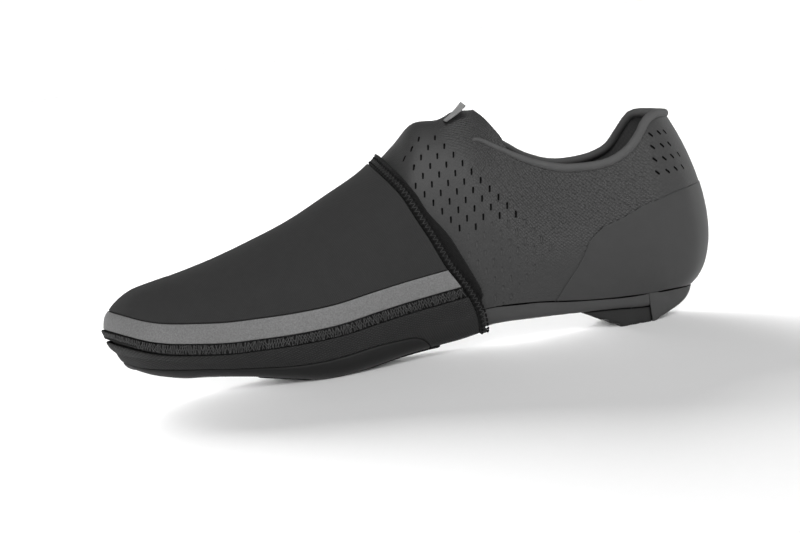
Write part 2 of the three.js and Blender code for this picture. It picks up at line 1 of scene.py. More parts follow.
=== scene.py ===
# A left road cycling shoe wearing a toe cover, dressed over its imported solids.
# Shapes are worked out in millimetres in the last's own frame and moved to the model's frame
# when a mesh is made: X to the heel, Y to the inner side of the foot, Z up.
import json
import math

import bmesh
import bpy
import numpy as np
from mathutils import Matrix, Vector

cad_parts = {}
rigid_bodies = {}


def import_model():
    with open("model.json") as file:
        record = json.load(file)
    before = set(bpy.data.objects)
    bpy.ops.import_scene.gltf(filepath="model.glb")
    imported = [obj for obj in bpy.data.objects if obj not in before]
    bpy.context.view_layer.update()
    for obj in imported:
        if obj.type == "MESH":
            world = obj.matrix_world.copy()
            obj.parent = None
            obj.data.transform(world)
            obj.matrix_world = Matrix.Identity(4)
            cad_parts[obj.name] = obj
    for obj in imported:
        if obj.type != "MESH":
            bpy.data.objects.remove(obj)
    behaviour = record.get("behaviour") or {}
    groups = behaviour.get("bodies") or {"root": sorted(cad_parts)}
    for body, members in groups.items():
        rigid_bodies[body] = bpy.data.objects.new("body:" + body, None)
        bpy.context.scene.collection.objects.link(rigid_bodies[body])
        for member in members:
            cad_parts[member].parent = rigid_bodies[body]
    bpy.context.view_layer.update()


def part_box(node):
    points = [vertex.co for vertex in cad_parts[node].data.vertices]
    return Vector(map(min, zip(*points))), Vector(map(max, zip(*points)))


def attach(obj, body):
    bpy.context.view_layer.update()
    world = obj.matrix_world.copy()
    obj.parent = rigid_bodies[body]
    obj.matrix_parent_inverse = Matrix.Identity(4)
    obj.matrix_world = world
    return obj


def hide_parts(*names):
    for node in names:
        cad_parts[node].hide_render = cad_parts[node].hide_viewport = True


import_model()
print("frame loaded")

shoe = {
    "length": 286.3, "ballWidth": 92, "instep": 110, "collar": 98, "arch": 19.5,
    "wall": 2.2,          # the upper's
    "gap": 0.3,           # between pieces that touch
    "coverClearance": 0.35,
    "bumperFront": 0.132, "treadFront": 0.246,
    "throatCentre": 7.2, "throatWidth": 8, "throatFront": 0.66, "throatBack": 0.3,
    "throatFloor": 55,
}
meshing = {
    "weld": 1e-5, "sharp": 48,      # metres, degrees
    "sliver": 0.04, "rimSteps": (0.1, 0.4, 1.0), "loopBreak": 0.02, "halvings": 22,
}
halfBall = shoe["ballWidth"] / 2
heelBack = shoe["length"] / 2


def xAt(along):
    return heelBack - along * shoe["length"]


# Where the last's frame lies in the model's: the heel tread's rear face and the tab's middle
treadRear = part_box("heel_tread")[1].x * 1000
tabLow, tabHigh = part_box("tongue_tab")
shift = np.array([
    treadRear - xAt(shoe["bumperFront"]) + shoe["gap"] / 2,
    (tabLow.y + tabHigh.y) * 500 - shoe["throatCentre"],
    0.0,
])

# The last: each row is a rib, as in the solids. along outer inner topAlong topSide topSkew up
# fan belly rise reach drop
ribTable = np.array([
    [0.045, 0.000, 0.000, 0.087, 0.000, 0.000, 1.045, -90, 0.41, 0.22, 0.67, 0.93],
    [0.060, 0.380, 0.380, 0.097, 0.250, 0.000, 1.045, -62, 0.33, 0.26, 0.52, 0.92],
    [0.097, 0.576, 0.576, 0.122, 0.413, 0.000, 1.045, -30, 0.20, 0.32, 0.34, 0.90],
    [0.146, 0.685, 0.685, 0.160, 0.500, 0.000, 1.045, -8, 0.13, 0.40, 0.27, 0.88],
    [0.226, 0.717, 0.707, 0.226, 0.511, 0.000, 1.045, 0, 0.11, 0.44, 0.27, 0.88],
    [0.307, 0.707, 0.663, 0.286, 0.380, 0.000, 1.045, 0, 0.11, 0.48, 0.38, 0.74],
    [0.373, 0.707, 0.641, 0.331, 0.174, 0.000, 1.018, 0, 0.13, 0.56, 0.52, 0.30],
    [0.432, 0.728, 0.652, 0.359, 0.000, 0.000, 0.993, 0, 0.14, 0.58, 0.60, 0.08],
    [0.478, 0.761, 0.674, 0.411, 0.000, 0.000, 0.978, 0, 0.15, 0.58, 0.62, 0.06],
    [0.520, 0.793, 0.707, 0.457, 0.000, 0.022, 0.981, 0, 0.16, 0.56, 0.63, 0.05],
    [0.555, 0.837, 0.761, 0.495, 0.000, 0.043, 0.901, 0, 0.16, 0.54, 0.64, 0.04],
    [0.597, 0.902, 0.848, 0.548, 0.000, 0.065, 0.798, 0, 0.16, 0.50, 0.65, 0.03],
    [0.645, 0.957, 0.941, 0.611, 0.000, 0.087, 0.718, 0, 0.15, 0.46, 0.66, 0.02],
    [0.701, 0.972, 1.015, 0.680, 0.000, 0.109, 0.637, 0, 0.14, 0.41, 0.67, 0.02],
    [0.761, 0.924, 1.028, 0.750, 0.000, 0.130, 0.576, 0, 0.13, 0.37, 0.67, 0.01],
    [0.824, 0.804, 0.978, 0.820, 0.000, 0.163, 0.524, 0, 0.13, 0.33, 0.65, 0.01],
    [0.876, 0.630, 0.891, 0.882, 0.000, 0.196, 0.488, 10, 0.13, 0.30, 0.68, 0.00],
    [0.921, 0.435, 0.739, 0.882, 0.000, 0.196, 0.488, 35, 0.15, 0.28, 0.78, -0.03],
    [0.956, 0.174, 0.554, 0.882, 0.000, 0.196, 0.488, 62, 0.18, 0.26, 0.89, -0.06],
    [0.980, -0.217, 0.217, 0.882, 0.000, 0.196, 0.488, 90, 0.19, 0.24, 0.96, -0.08],
])
ridgeFirst = 7   # the first rib that ends on the ridge
toeFan = 16      # the first rib that ends at the toe's pole

# Heights along the sole, as shares of the arch height
upperEdge = [
    (0.045, 0.646), (0.094, 0.682), (0.170, 0.713), (0.244, 0.810), (0.307, 0.933),
    (0.349, 0.979), (0.387, 1.000), (0.436, 0.954), (0.506, 0.800), (0.576, 0.615),
    (0.638, 0.513), (0.708, 0.554), (0.775, 0.718), (0.838, 0.862), (0.890, 0.990),
    (0.932, 1.128), (0.963, 1.282), (0.981, 1.359),
]
soleBottom = [
    (0.048, 0.359), (0.132, 0.374), (0.191, 0.451), (0.246, 0.503), (0.326, 0.559),
    (0.387, 0.579), (0.450, 0.440), (0.520, 0.350), (0.590, 0.184), (0.645, 0.100),
    (0.680, 0.125), (0.722, 0.235), (0.761, 0.345), (0.799, 0.445), (0.866, 0.570),
    (0.904, 0.620), (0.939, 0.730), (0.974, 0.920),
]
heelBottom = [
    (0.045, 0.600), (0.066, 0.330), (0.090, 0.180), (0.112, 0.070), (0.128, -0.020),
    (0.160, -0.060), (0.176, -0.050), (0.192, 0.060), (0.222, 0.300), (0.246, 0.480),
    (0.296, 0.530),
]
cornerRound = [
    (0.04, 0.10, 0.40), (0.25, 0.10, 0.40), (0.42, 0.14, 0.50), (0.52, 0.26, 0.70),
    (0.62, 0.32, 0.80), (0.82, 0.32, 0.80), (0.90, 0.22, 0.66), (1.00, 0.16, 0.60),
]
cornerShare = 0.6
spineFront, spineBack, spineSkew = 0.872, 0.14, 0.2

# Lines on the side of the shoe: along, and up as a share of the collar's height
collarOuter = [
    (0.017, 0.926), (0.062, 0.948), (0.085, 0.925), (0.104, 0.863), (0.126, 0.808),
    (0.156, 0.768), (0.184, 0.758), (0.212, 0.762), (0.237, 0.771), (0.268, 0.800),
    (0.298, 0.844), (0.327, 0.900), (0.363, 0.972),
]
collarInner = [
    (0.017, 0.926), (0.062, 0.951), (0.085, 0.948), (0.104, 0.887), (0.126, 0.813),
    (0.156, 0.777), (0.184, 0.768), (0.212, 0.770), (0.237, 0.785), (0.255, 0.808),
    (0.279, 0.848), (0.302, 0.905), (0.327, 0.955), (0.363, 1.010),
]
flapBack = [
    (0.370, 1.180), (0.358, 1.140), (0.349, 1.100), (0.336, 1.035), (0.325, 0.970),
    (0.320, 0.900), (0.318, 0.700),
]
counterTop = [
    (0.291, 0.150), (0.263, 0.250), (0.241, 0.321), (0.228, 0.373), (0.218, 0.422),
    (0.206, 0.455), (0.188, 0.485), (0.154, 0.513), (0.118, 0.551), (0.087, 0.569),
    (0.059, 0.588), (-0.018, 0.612),
]
hemFront = [
    (0.549, 1.030), (0.536, 0.939), (0.505, 0.796), (0.487, 0.673), (0.471, 0.565),
    (0.452, 0.423), (0.435, 0.333), (0.423, 0.258), (0.414, 0.171), (0.414, -0.051),
]
hemBack = [
    (0.533, 1.060), (0.522, 0.990), (0.499, 0.886), (0.479, 0.783), (0.466, 0.692),
    (0.440, 0.573), (0.422, 0.449), (0.398, 0.273), (0.388, 0.209), (0.387, -0.051),
]
stripBottom = [
    (1.030, 0.383), (1.009, 0.372), (0.977, 0.342), (0.942, 0.304), (0.911, 0.281),
    (0.869, 0.264), (0.815, 0.248), (0.771, 0.244), (0.705, 0.241), (0.638, 0.249),
    (0.570, 0.276), (0.502, 0.299), (0.384, 0.331),
]
rubberTop = [
    (1.030, 0.255), (0.995, 0.209), (0.961, 0.174), (0.911, 0.153), (0.848, 0.133),
    (0.782, 0.111), (0.715, 0.092), (0.649, 0.095), (0.581, 0.117), (0.541, 0.122),
]


# A smooth curve through points in order of place
def smoothThrough(place, value):
    order = np.argsort(place)
    place, value = np.asarray(place, float)[order], np.asarray(value, float)[order]
    before = np.maximum(np.arange(len(place)) - 1, 0)
    after = np.minimum(np.arange(len(place)) + 1, len(place) - 1)
    slope = (value[after] - value[before]) / (place[after] - place[before])

    def at(q):
        q = np.asarray(q, float)
        k = np.clip(np.searchsorted(place, q) - 1, 0, len(place) - 2)
        span = place[k + 1] - place[k]
        s = np.clip((q - place[k]) / span, 0, 1)
        return ((2 * s**3 - 3 * s**2 + 1) * value[k] + (3 * s**2 - 2 * s**3) * value[k + 1]
                + span * ((s**3 - 2 * s**2 + s) * slope[k] + (s**3 - s**2) * slope[k + 1]))
    return at


def heightAlong(rows, unit):
    return smoothThrough([xAt(row[0]) for row in rows], [unit * row[1] for row in rows])


def placeUp(rows, unit):
    return smoothThrough([unit * row[1] for row in rows], [xAt(row[0]) for row in rows])


def ease(low, high, q):
    s = np.clip((np.asarray(q, float) - low) / (high - low), 0, 1)
    return s * s * (3 - 2 * s)


edgeHeight = heightAlong(upperEdge, shoe["arch"])
soleHeight = heightAlong(soleBottom, shoe["arch"])
heelHeight = heightAlong(heelBottom, shoe["arch"])
cornerInset = heightAlong([(row[0], row[1]) for row in cornerRound], halfBall)
cornerPower = heightAlong([(row[0], row[2]) for row in cornerRound], 1)


# A closed curve through points, at any share of the way round
def closedCurve(points):
    points = np.asarray(points, float)
    count = len(points)

    def at(u, slope=False):
        place = (np.asarray(u, float) % 1) * count
        k = np.floor(place).astype(int)
        w = (place - k)[..., None]
        p = [points[(k + j) % count] for j in (-1, 0, 1, 2)]
        a = -p[0] + 3 * p[1] - 3 * p[2] + p[3]
        b = 2 * p[0] - 5 * p[1] + 4 * p[2] - p[3]
        c = p[2] - p[0]
        if slope:
            return (1.5 * a * w + b) * w + 0.5 * c
        return 0.5 * ((a * w + b) * w + c) * w + p[1]
    return at


ribCount = len(ribTable)
ribOrder = list(range(ribCount)) + list(range(ribCount - 2, 0, -1))
ribSide = np.array([-1] * ribCount + [1] * (ribCount - 2))
loopCount = len(ribOrder)
loopRibs = ribTable[ribOrder]
halfWidth = np.where(ribSide < 0, loopRibs[:, 1], loopRibs[:, 2])
edgeX = xAt(loopRibs[:, 0])
edgeCurve = closedCurve(np.stack(
    [edgeX, ribSide * halfWidth * halfBall, edgeHeight(edgeX)], 1))


def outward(u):
    run = edgeCurve(u, slope=True)
    flat = np.stack([-run[..., 1], run[..., 0], 0 * run[..., 0]], -1)
    return flat / np.linalg.norm(flat, axis=-1, keepdims=True)


def controlCurves():
    alongTop, upTop = ribTable[:, 3], ribTable[:, 6]
    slope = np.zeros(ribCount)
    for k in range(ridgeFirst, ribCount):
        a, b = min(k, toeFan) - 1, min(k + 1, toeFan)
        run = (alongTop[b] - alongTop[a]) * shoe["length"]
        slope[k] = (upTop[a] - upTop[b]) * shoe["instep"] / run
    slope = slope[ribOrder]
    fan = np.radians(loopRibs[:, 7])
    reach = loopRibs[:, 10] * halfBall
    top = np.stack([xAt(loopRibs[:, 3]), (loopRibs[:, 5] + ribSide * loopRibs[:, 4]) * halfBall,
                    loopRibs[:, 6] * shoe["instep"]], 1)
    low = outward(np.arange(loopCount) / loopCount) * (loopRibs[:, 8] * halfBall)[:, None]
    low[:, 2] += loopRibs[:, 9] * halfBall
    high = np.stack([-np.sin(fan) * reach, ribSide * np.cos(fan) * reach,
                     -loopRibs[:, 11] * halfBall
                     - slope * np.maximum(np.sin(fan), 0) * reach], 1)
    return closedCurve(top), closedCurve(low), closedCurve(high), top[toeFan]


topCurve, lowCurve, highCurve, toePole = controlCurves()


# How far along the ribs a place u is, counted from the heel on either side
def ribPlace(u):
    place = (np.asarray(u, float) % 1) * loopCount
    return np.minimum(place, loopCount - place)


def topPoint(u):
    point = topCurve(u)
    point[ribPlace(u) >= toeFan] = toePole
    return point


def ridgePoint(place):
    u = np.clip(place, ridgeFirst, toeFan) / loopCount
    return (topPoint(u) + topPoint(1 - u)) / 2


# A point on the last: u runs round it, t from -1, the middle of the sole, past 0, its edge,
# to 1, the ridge or the rim
def surface(u, t, bottom=soleHeight, inset=0.0):
    u, t = np.broadcast_arrays(np.asarray(u, float), np.asarray(t, float))
    edge = edgeCurve(u)
    top = topPoint(u)
    s = np.clip(t, 0, 1)[..., None]
    foot = ((1 - s)**3 * edge + 3 * (1 - s)**2 * s * (edge + lowCurve(u))
            + 3 * (1 - s) * s**2 * (top + highCurve(u)) + s**3 * top)
    inward = -outward(u)
    rim = edge + inward * inset
    height = rim[..., 2] - bottom(rim[..., 0])
    angle = np.minimum(-np.minimum(t, 0) / cornerShare, 1) * math.pi / 2
    power = cornerPower(rim[..., 0])
    across = cornerInset(rim[..., 0]) * (1 - np.maximum(np.cos(angle), 0)**power)
    corner = rim + inward * across[..., None]
    corner[..., 2] = rim[..., 2] - height * np.sin(angle)**power
    spineX = np.clip(rim[..., 0], xAt(spineFront), xAt(spineBack))
    skew = spineSkew * halfBall * (heelBack - spineX) / shoe["length"]
    middle = np.stack([spineX, skew, bottom(spineX)], -1)
    past = np.maximum((-t - cornerShare) / (1 - cornerShare), 0)[..., None]
    under = corner + (middle - corner) * past
    return np.where((t >= 0)[..., None], foot, under)


def surfaceNormal(u, t, bottom=soleHeight, inset=0.0):
    du, dt = 0.004, 0.02
    inside = np.clip(t, -0.96, 0.97)
    alongLoop = surface(u + du, inside, bottom, inset) - surface(u - du, inside, bottom, inset)
    upRib = surface(u, inside + dt, bottom, inset) - surface(u, inside - dt, bottom, inset)
    normal = np.cross(upRib, alongLoop)
    normal /= np.linalg.norm(normal, axis=-1, keepdims=True)
    place = ribPlace(u)
    ridgePlace = np.clip(place, ridgeFirst + 0.5, toeFan - 0.5)
    run = ridgePoint(ridgePlace - 0.5) - ridgePoint(ridgePlace + 0.5)
    up = np.stack([-run[..., 2], 0 * run[..., 0], run[..., 0]], -1)
    up /= np.linalg.norm(up, axis=-1, keepdims=True)
    toRidge = (ease(0.86, 1, t) * ease(6.2, ridgeFirst, place))[..., None]
    toSpine = ease(0.86, 1, -np.asarray(t, float))[..., None]
    down = np.array([0.0, 0.0, -1.0])
    normal = normal * (1 - toRidge) * (1 - toSpine) + up * toRidge + down * toSpine
    return normal / np.linalg.norm(normal, axis=-1, keepdims=True)


# Places where both sides meet share one point
def seamPoint(u, t, bottom=soleHeight, inset=0.0):
    point = surface(u, t, bottom, inset)
    meets = ((t >= 1) & (ribPlace(u) >= ridgeFirst)) | (t <= -1)
    if np.any(meets):
        other = surface(1 - u, t, bottom, inset)
        point[meets] = (point[meets] + other[meets]) / 2
    return point


# Stations round the loop about one step apart, the same on both sides
def stations(step):
    fine = np.linspace(0, 0.5, 2000)
    run = np.linalg.norm(np.diff((edgeCurve(fine) + edgeCurve(1 - fine) * [1, -1, 1]) / 2,
                                 axis=0), axis=1)
    length = np.concatenate([[0], np.cumsum(run)])
    count = int(length[-1] / step)
    half = np.interp(np.linspace(0, length[-1], count + 1), length, fine)
    return np.concatenate([half, 1 - half[-2::-1]])


def gridFaces(rows, columns):
    corners = [i * columns + j for i in range(rows - 1) for j in range(columns - 1)]
    return [[a, a + 1, a + columns + 1, a + columns] for a in corners]


# Sheets: a mesh over part of the last, as places u and t and faces between them
def gridSheet(step, tValues, uFrom=0.0, bottom=soleHeight, inset=0.0, uTo=0.5):
    us = stations(step)
    us = us[(ribPlace(us) >= uFrom * loopCount) & (ribPlace(us) <= uTo * loopCount + 1e-9)]
    rows = len(tValues)
    u, t = np.meshgrid(us, tValues, indexing="ij")
    faces = [face for face in gridFaces(len(us), rows)
             if us[face[2] // rows] - us[face[0] // rows] <= meshing["loopBreak"]]
    return {"u": u.ravel(), "t": t.ravel(), "faces": faces, "bottom": bottom, "inset": inset}


# The toe's profile and the rise of the flaps, read closer than the ribs can follow
toeProfile = {
    "height": (0, 16, 20, 23, 26, 30, 33, 35.5, 38, 40, 44, 47, 50, 54, 62),
    "lift": (0, 1.2, 0.6, 1.5, 2.1, 2.0, 0.8, -0.6, -1.7, -2.1, -2.1, -1.0, 0.5, 1.0, 0),
    "from": -116, "full": -138,
}
flapRise = {"along": 33, "reach": 6, "rise": 2.4}


def localShape(points, t):
    x, z = points[..., 0], points[..., 2]
    toe = np.interp(z, toeProfile["height"], toeProfile["lift"])
    toe = toe * ease(toeProfile["from"], toeProfile["full"], x)
    rise = flapRise["rise"] * np.exp(-((x - flapRise["along"]) / flapRise["reach"])**2)
    return toe + rise * ease(0.8, 1, t)


def lifted(u, t, lift, bottom=soleHeight, inset=0.0):
    points = seamPoint(u, t, bottom, inset)
    lift = lift + localShape(points, t)
    return points + surfaceNormal(u, t, bottom, inset) * lift[..., None]


def sheetPoints(sheet, lift):
    return lifted(sheet["u"], sheet["t"], lift, sheet["bottom"], sheet["inset"])


# Cuts the sheet where a field crosses a level: below it is left out, or kept as it is
def cutSheet(sheet, field, level=0.0, lift=0.0, keepBelow=False):
    value = field(sheetPoints(sheet, lift)) - level
    value[np.abs(value) < meshing["sliver"]] = 0
    value = value.tolist()
    us, ts = sheet["u"].tolist(), sheet["t"].tolist()
    made = {}

    def crossing(a, b):
        key = (a, b) if a < b else (b, a)
        if key not in made:
            w = value[key[0]] / (value[key[0]] - value[key[1]])
            us.append(us[key[0]] + (us[key[1]] - us[key[0]]) * w)
            ts.append(ts[key[0]] + (ts[key[1]] - ts[key[0]]) * w)
            made[key] = len(us) - 1
        return made[key]

    faces = []
    for face in sheet["faces"]:
        here = [value[k] for k in face]
        if min(here) >= 0:
            faces.append(face)
            continue
        if max(here) <= 0:
            if keepBelow:
                faces.append(face)
            continue
        above, below = [], []
        for a, b in zip(face, face[1:] + face[:1]):
            if value[a] >= 0:
                above.append(a)
            if value[a] <= 0:
                below.append(a)
            if value[a] * value[b] < 0:
                middle = crossing(a, b)
                above.append(middle)
                below.append(middle)
        if len(above) > 2:
            faces.append(above)
        if keepBelow and len(below) > 2:
            faces.append(below)
    return {**sheet, "u": np.array(us), "t": np.array(ts), "faces": faces}


# Cuts a sheet to its outline and rounds its rim: fields are positive inside
def trimSheet(sheet, fields, lift, rim):
    for field in fields:
        sheet = cutSheet(sheet, field, 0.0, lift)
    for field in fields:
        for share in meshing["rimSteps"]:
            sheet = cutSheet(sheet, field, share * rim, lift, keepBelow=True)
    return sheet


def rimDrop(sheet, fields, lift, rim):
    points = sheetPoints(sheet, lift)
    inside = np.min([np.clip(field(points), 0, rim) for field in fields], axis=0)
    return rim - np.sqrt(np.maximum(rim**2 - (rim - inside)**2, 0))


# Lengths along the loop and up the ribs, in metres, for patterns that follow the surface
fineLoop = np.linspace(0, 1, 1200)
loopRun = np.concatenate([[0], np.cumsum(np.linalg.norm(
    np.diff(edgeCurve(fineLoop), axis=0), axis=1))])
ribGrid = surface(fineLoop[:, None], np.linspace(0, 1, 30)[None, :])
ribLength = np.linalg.norm(np.diff(ribGrid, axis=1), axis=2).sum(1)


def sheetUv(u, t):
    along = np.interp(u, fineLoop, loopRun)
    girth = np.interp(u, fineLoop, ribLength)
    return np.stack([along, t * girth], -1) / 1000


def toModel(points):
    return (np.asarray(points) + shift) / 1000


def newPiece(name, points, faces, uv=None, grain=None):
    mesh = bpy.data.meshes.new(name)
    mesh.from_pydata([tuple(p) for p in points], [], faces)
    if grain is not None:
        store = mesh.attributes.new("grain", "FLOAT", "POINT")
        store.data.foreach_set("value", np.asarray(grain, np.float32))
    if uv is not None:
        layer = mesh.uv_layers.new(name="surface")
        corners = np.array([k for face in faces for k in face])
        layer.data.foreach_set("uv", uv[corners].astype(np.float32).ravel())
    work = bmesh.new()
    work.from_mesh(mesh)
    bmesh.ops.remove_doubles(work, verts=work.verts, dist=meshing["weld"])
    bmesh.ops.dissolve_degenerate(work, edges=work.edges, dist=1e-7)
    loose = [v for v in work.verts if not v.link_faces]
    bmesh.ops.delete(work, geom=loose, context="VERTS")
    work.to_mesh(mesh)
    work.free()
    piece = bpy.data.objects.new(name, mesh)
    bpy.context.scene.collection.objects.link(piece)
    return piece


def bakeModifiers(piece):
    view = bpy.context.evaluated_depsgraph_get()
    mesh = bpy.data.meshes.new_from_object(piece.evaluated_get(view))
    piece.modifiers.clear()
    piece.data = mesh


def smoothShade(piece):
    piece.data.polygons.foreach_set("use_smooth", [True] * len(piece.data.polygons))
    piece.data.set_sharp_from_angle(angle=math.radians(meshing["sharp"]))


def facesOut(piece):
    work = bmesh.new()
    work.from_mesh(piece.data)
    bmesh.ops.recalc_face_normals(work, faces=work.faces)
    work.to_mesh(piece.data)
    work.free()


def addWall(piece, thickness, offset=-1, liningSlot=0):
    wall = piece.modifiers.new("wall", "SOLIDIFY")
    wall.thickness = thickness / 1000
    wall.offset = offset
    wall.material_offset = liningSlot


def roundEdges(piece, width, segments):
    edge = piece.modifiers.new("edge", "BEVEL")
    edge.width = width / 1000
    edge.segments = segments


# A panel with its real wall, from a trimmed sheet and the height of its face above the last. Grain
# values, when given, go to a point attribute that sets both the coated knit's pebbles and its painted
# shade
def panel(name, sheet, lift, wall, materials, grain=None):
    points = toModel(sheetPoints(sheet, lift))
    piece = newPiece(name, points, sheet["faces"], sheetUv(sheet["u"], sheet["t"]), grain)
    for material in materials:
        piece.data.materials.append(material)
    addWall(piece, wall, liningSlot=len(materials) - 1)
    bakeModifiers(piece)
    smoothShade(piece)
    return piece


def finishPiece(piece, slot, *nodes):
    if nodes:
        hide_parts(*nodes)
    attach(piece, "root")
    print("made", piece.name, len(piece.data.polygons), "faces")


# Geometry Nodes groups: a small shape put on points that carry their own turn
def newGroup(name, inputs):
    tree = bpy.data.node_groups.new(name, "GeometryNodeTree")
    tree.interface.new_socket(name="Geometry", in_out="INPUT", socket_type="NodeSocketGeometry")
    for key, value in inputs.items():
        kind = "NodeSocketInt" if isinstance(value, int) else "NodeSocketFloat"
        if value is None:
            kind = "NodeSocketMaterial"
        socket = tree.interface.new_socket(name=key, in_out="INPUT", socket_type=kind)
        if value is not None:
            socket.default_value = value
    tree.interface.new_socket(name="Geometry", in_out="OUTPUT", socket_type="NodeSocketGeometry")
    return tree, addNode(tree, "NodeGroupInput", {}, {}).outputs


def placeOnPoints(tree, given, shape):
    turn = addNode(tree, "GeometryNodeInputNamedAttribute", {"data_type": "FLOAT_VECTOR"}, {
        "Name": "turn"})
    rotation = addNode(tree, "FunctionNodeEulerToRotation", {}, {
        "Euler": turn.outputs["Attribute"]})
    placed = addNode(tree, "GeometryNodeInstanceOnPoints", {}, {
        "Points": given["Geometry"], "Instance": shape, "Rotation": rotation.outputs[0]})
    least = addNode(tree, "ShaderNodeMath", {"operation": "MULTIPLY"}, {
        0: given["Jitter"], 1: -1.0})
    random = addNode(tree, "FunctionNodeRandomValue", {"data_type": "FLOAT"}, {
        2: least.outputs[0], 3: given["Jitter"], "Seed": given["Seed"]})
    spin = addNode(tree, "ShaderNodeCombineXYZ", {}, {2: random.outputs[1]})
    turned = addNode(tree, "GeometryNodeRotateInstances", {}, {
        "Instances": placed.outputs[0], "Rotation": spin.outputs[0]})
    real = addNode(tree, "GeometryNodeRealizeInstances", {}, {"Geometry": turned.outputs[0]})
    shown = addNode(tree, "GeometryNodeSetMaterial", {}, {
        "Geometry": real.outputs[0], "Material": given["Material"]})
    addNode(tree, "NodeGroupOutput", {}, {"Geometry": shown.outputs[0]})
    return tree


# One pass of thread over a seam, bent up between its two ends
def threadGroup():
    tree, given = newGroup("threadRow", {
        "Width": 0.004, "Rise": 0.0006, "Sink": 0.0003, "Thread": 0.0002, "Jitter": 0.12,
        "Seed": 7, "Material": None})
    less, half, deep = [
        addNode(tree, "ShaderNodeMath", {"operation": "MULTIPLY"}, {0: size, 1: by}).outputs[0]
        for size, by in ((given["Width"], -0.5), (given["Width"], 0.5), (given["Sink"], -1.0))]
    ends = [addNode(tree, "ShaderNodeCombineXYZ", {}, {1: side, 2: deep}).outputs[0]
            for side in (less, half)]
    middle = addNode(tree, "ShaderNodeCombineXYZ", {}, {2: given["Rise"]}).outputs[0]
    path = addNode(tree, "GeometryNodeCurveQuadraticBezier", {}, {
        "Resolution": 6, "Start": ends[0], "Middle": middle, "End": ends[1]})
    section = addNode(tree, "GeometryNodeCurvePrimitiveCircle", {}, {
        "Resolution": 6, "Radius": given["Thread"]})
    shape = addNode(tree, "GeometryNodeCurveToMesh", {}, {
        "Curve": path.outputs[0], "Profile Curve": section.outputs[0], "Fill Caps": True})
    return placeOnPoints(tree, given, shape.outputs[0])


# A slot with rounded ends, as a solid to cut with
def slotGroup():
    tree, given = newGroup("slotRow", {
        "Radius": 0.00035, "Stretch": 0.001, "Depth": 0.004, "Jitter": 0.0, "Seed": 3,
        "Material": None})
    column = addNode(tree, "GeometryNodeMeshCylinder", {}, {
        "Vertices": 12, "Radius": given["Radius"], "Depth": given["Depth"]})
    place = addNode(tree, "GeometryNodeInputPosition", {}, {})
    parts = addNode(tree, "ShaderNodeSeparateXYZ", {}, {0: place.outputs[0]})
    side = addNode(tree, "ShaderNodeMath", {"operation": "SIGN"}, {0: parts.outputs[1]})
    move = addNode(tree, "ShaderNodeMath", {"operation": "MULTIPLY"}, {
        0: side.outputs[0], 1: given["Stretch"]})
    offset = addNode(tree, "ShaderNodeCombineXYZ", {}, {1: move.outputs[0]})
    shape = addNode(tree, "GeometryNodeSetPosition", {}, {
        "Geometry": column.outputs[0], "Offset": offset.outputs[0]})
    return placeOnPoints(tree, given, shape.outputs[0])


# A plain mesh of the group's shape on each point: y along ys, z along normals
def repeated(name, tree, points, ys, normals, values):
    mesh = bpy.data.meshes.new(name)
    mesh.from_pydata([tuple(p) for p in toModel(points)], [], [])
    turns = []
    for y, z in zip(ys, normals):
        z = Vector(z).normalized()
        x = Vector(y).cross(z).normalized()
        turns += Matrix((x, z.cross(x), z)).transposed().to_euler()[:]
    store = mesh.attributes.new("turn", "FLOAT_VECTOR", "POINT")
    store.data.foreach_set("vector", np.array(turns, np.float32))
    piece = bpy.data.objects.new(name, mesh)
    bpy.context.scene.collection.objects.link(piece)
    repeat = piece.modifiers.new("repeat", "NODES")
    repeat.node_group = tree
    for item in tree.interface.items_tree:
        if item.in_out == "INPUT" and item.name in values:
            repeat[item.identifier] = values[item.name]
    bakeModifiers(piece)
    return piece


# Points at equal steps along a line, with its direction and the surface's normal there
def evenly(points, normals, step):
    run = np.concatenate([[0], np.cumsum(np.linalg.norm(np.diff(points, axis=0), axis=1))])
    where = np.arange(step / 2, run[-1], step)
    place = np.stack([np.interp(where, run, points[:, k]) for k in (0, 1, 2)], 1)
    normal = np.stack([np.interp(where, run, normals[:, k]) for k in (0, 1, 2)], 1)
    return place, np.gradient(place, axis=0), normal


# The last place from low towards high where a test still holds
def lastPlace(low, high, holds, halvings=meshing["halvings"]):
    for _ in range(halvings):
        middle = (low + high) / 2
        here = holds(middle)
        low, high = np.where(here, middle, low), np.where(here, high, middle)
    return low


# The line round the last where a field has a level, one point at each place u
def lineRound(field, level, us, tLow, tHigh, lift):
    low, high = np.full(len(us), tLow), np.full(len(us), tHigh)
    start = field(lifted(us, low, lift)) > level
    t = lastPlace(low, high, lambda t: (field(lifted(us, t, lift)) > level) == start)
    return lifted(us, t, lift), surfaceNormal(us, t)


# The line up the last where a field has a level, one point at each t on one side
def lineUp(field, level, ts, uLow, uHigh, lift):
    low, high = np.full(len(ts), uLow), np.full(len(ts), uHigh)
    start = field(lifted(low, ts, lift)) > level
    u = lastPlace(low, high, lambda u: (field(lifted(u, ts, lift)) > level) == start)
    return lifted(u, ts, lift), surfaceNormal(u, ts)


# Materials
def linear(code):
    values = [int(code[k:k + 2], 16) / 255 for k in (1, 3, 5)]
    return [v / 12.92 if v <= 0.04045 else ((v + 0.055) / 1.055)**2.4 for v in values] + [1.0]


def addNode(tree, kind, settings, sockets):
    node = tree.nodes.new(kind)
    for key, value in settings.items():
        setattr(node, key, value)
    for key, value in sockets.items():
        socket = node.inputs[key]
        if isinstance(value, bpy.types.NodeSocket):
            tree.links.new(value, socket)
        else:
            socket.default_value = value
    return node


def newMaterial(name, settings):
    material = bpy.data.materials.new(name)
    material.use_nodes = True
    tree = material.node_tree
    shader = tree.nodes["Principled BSDF"]
    for key, value in settings.items():
        shader.inputs[key].default_value = value
    return material, tree, shader, addNode(tree, "ShaderNodeTexCoord", {}, {}).outputs


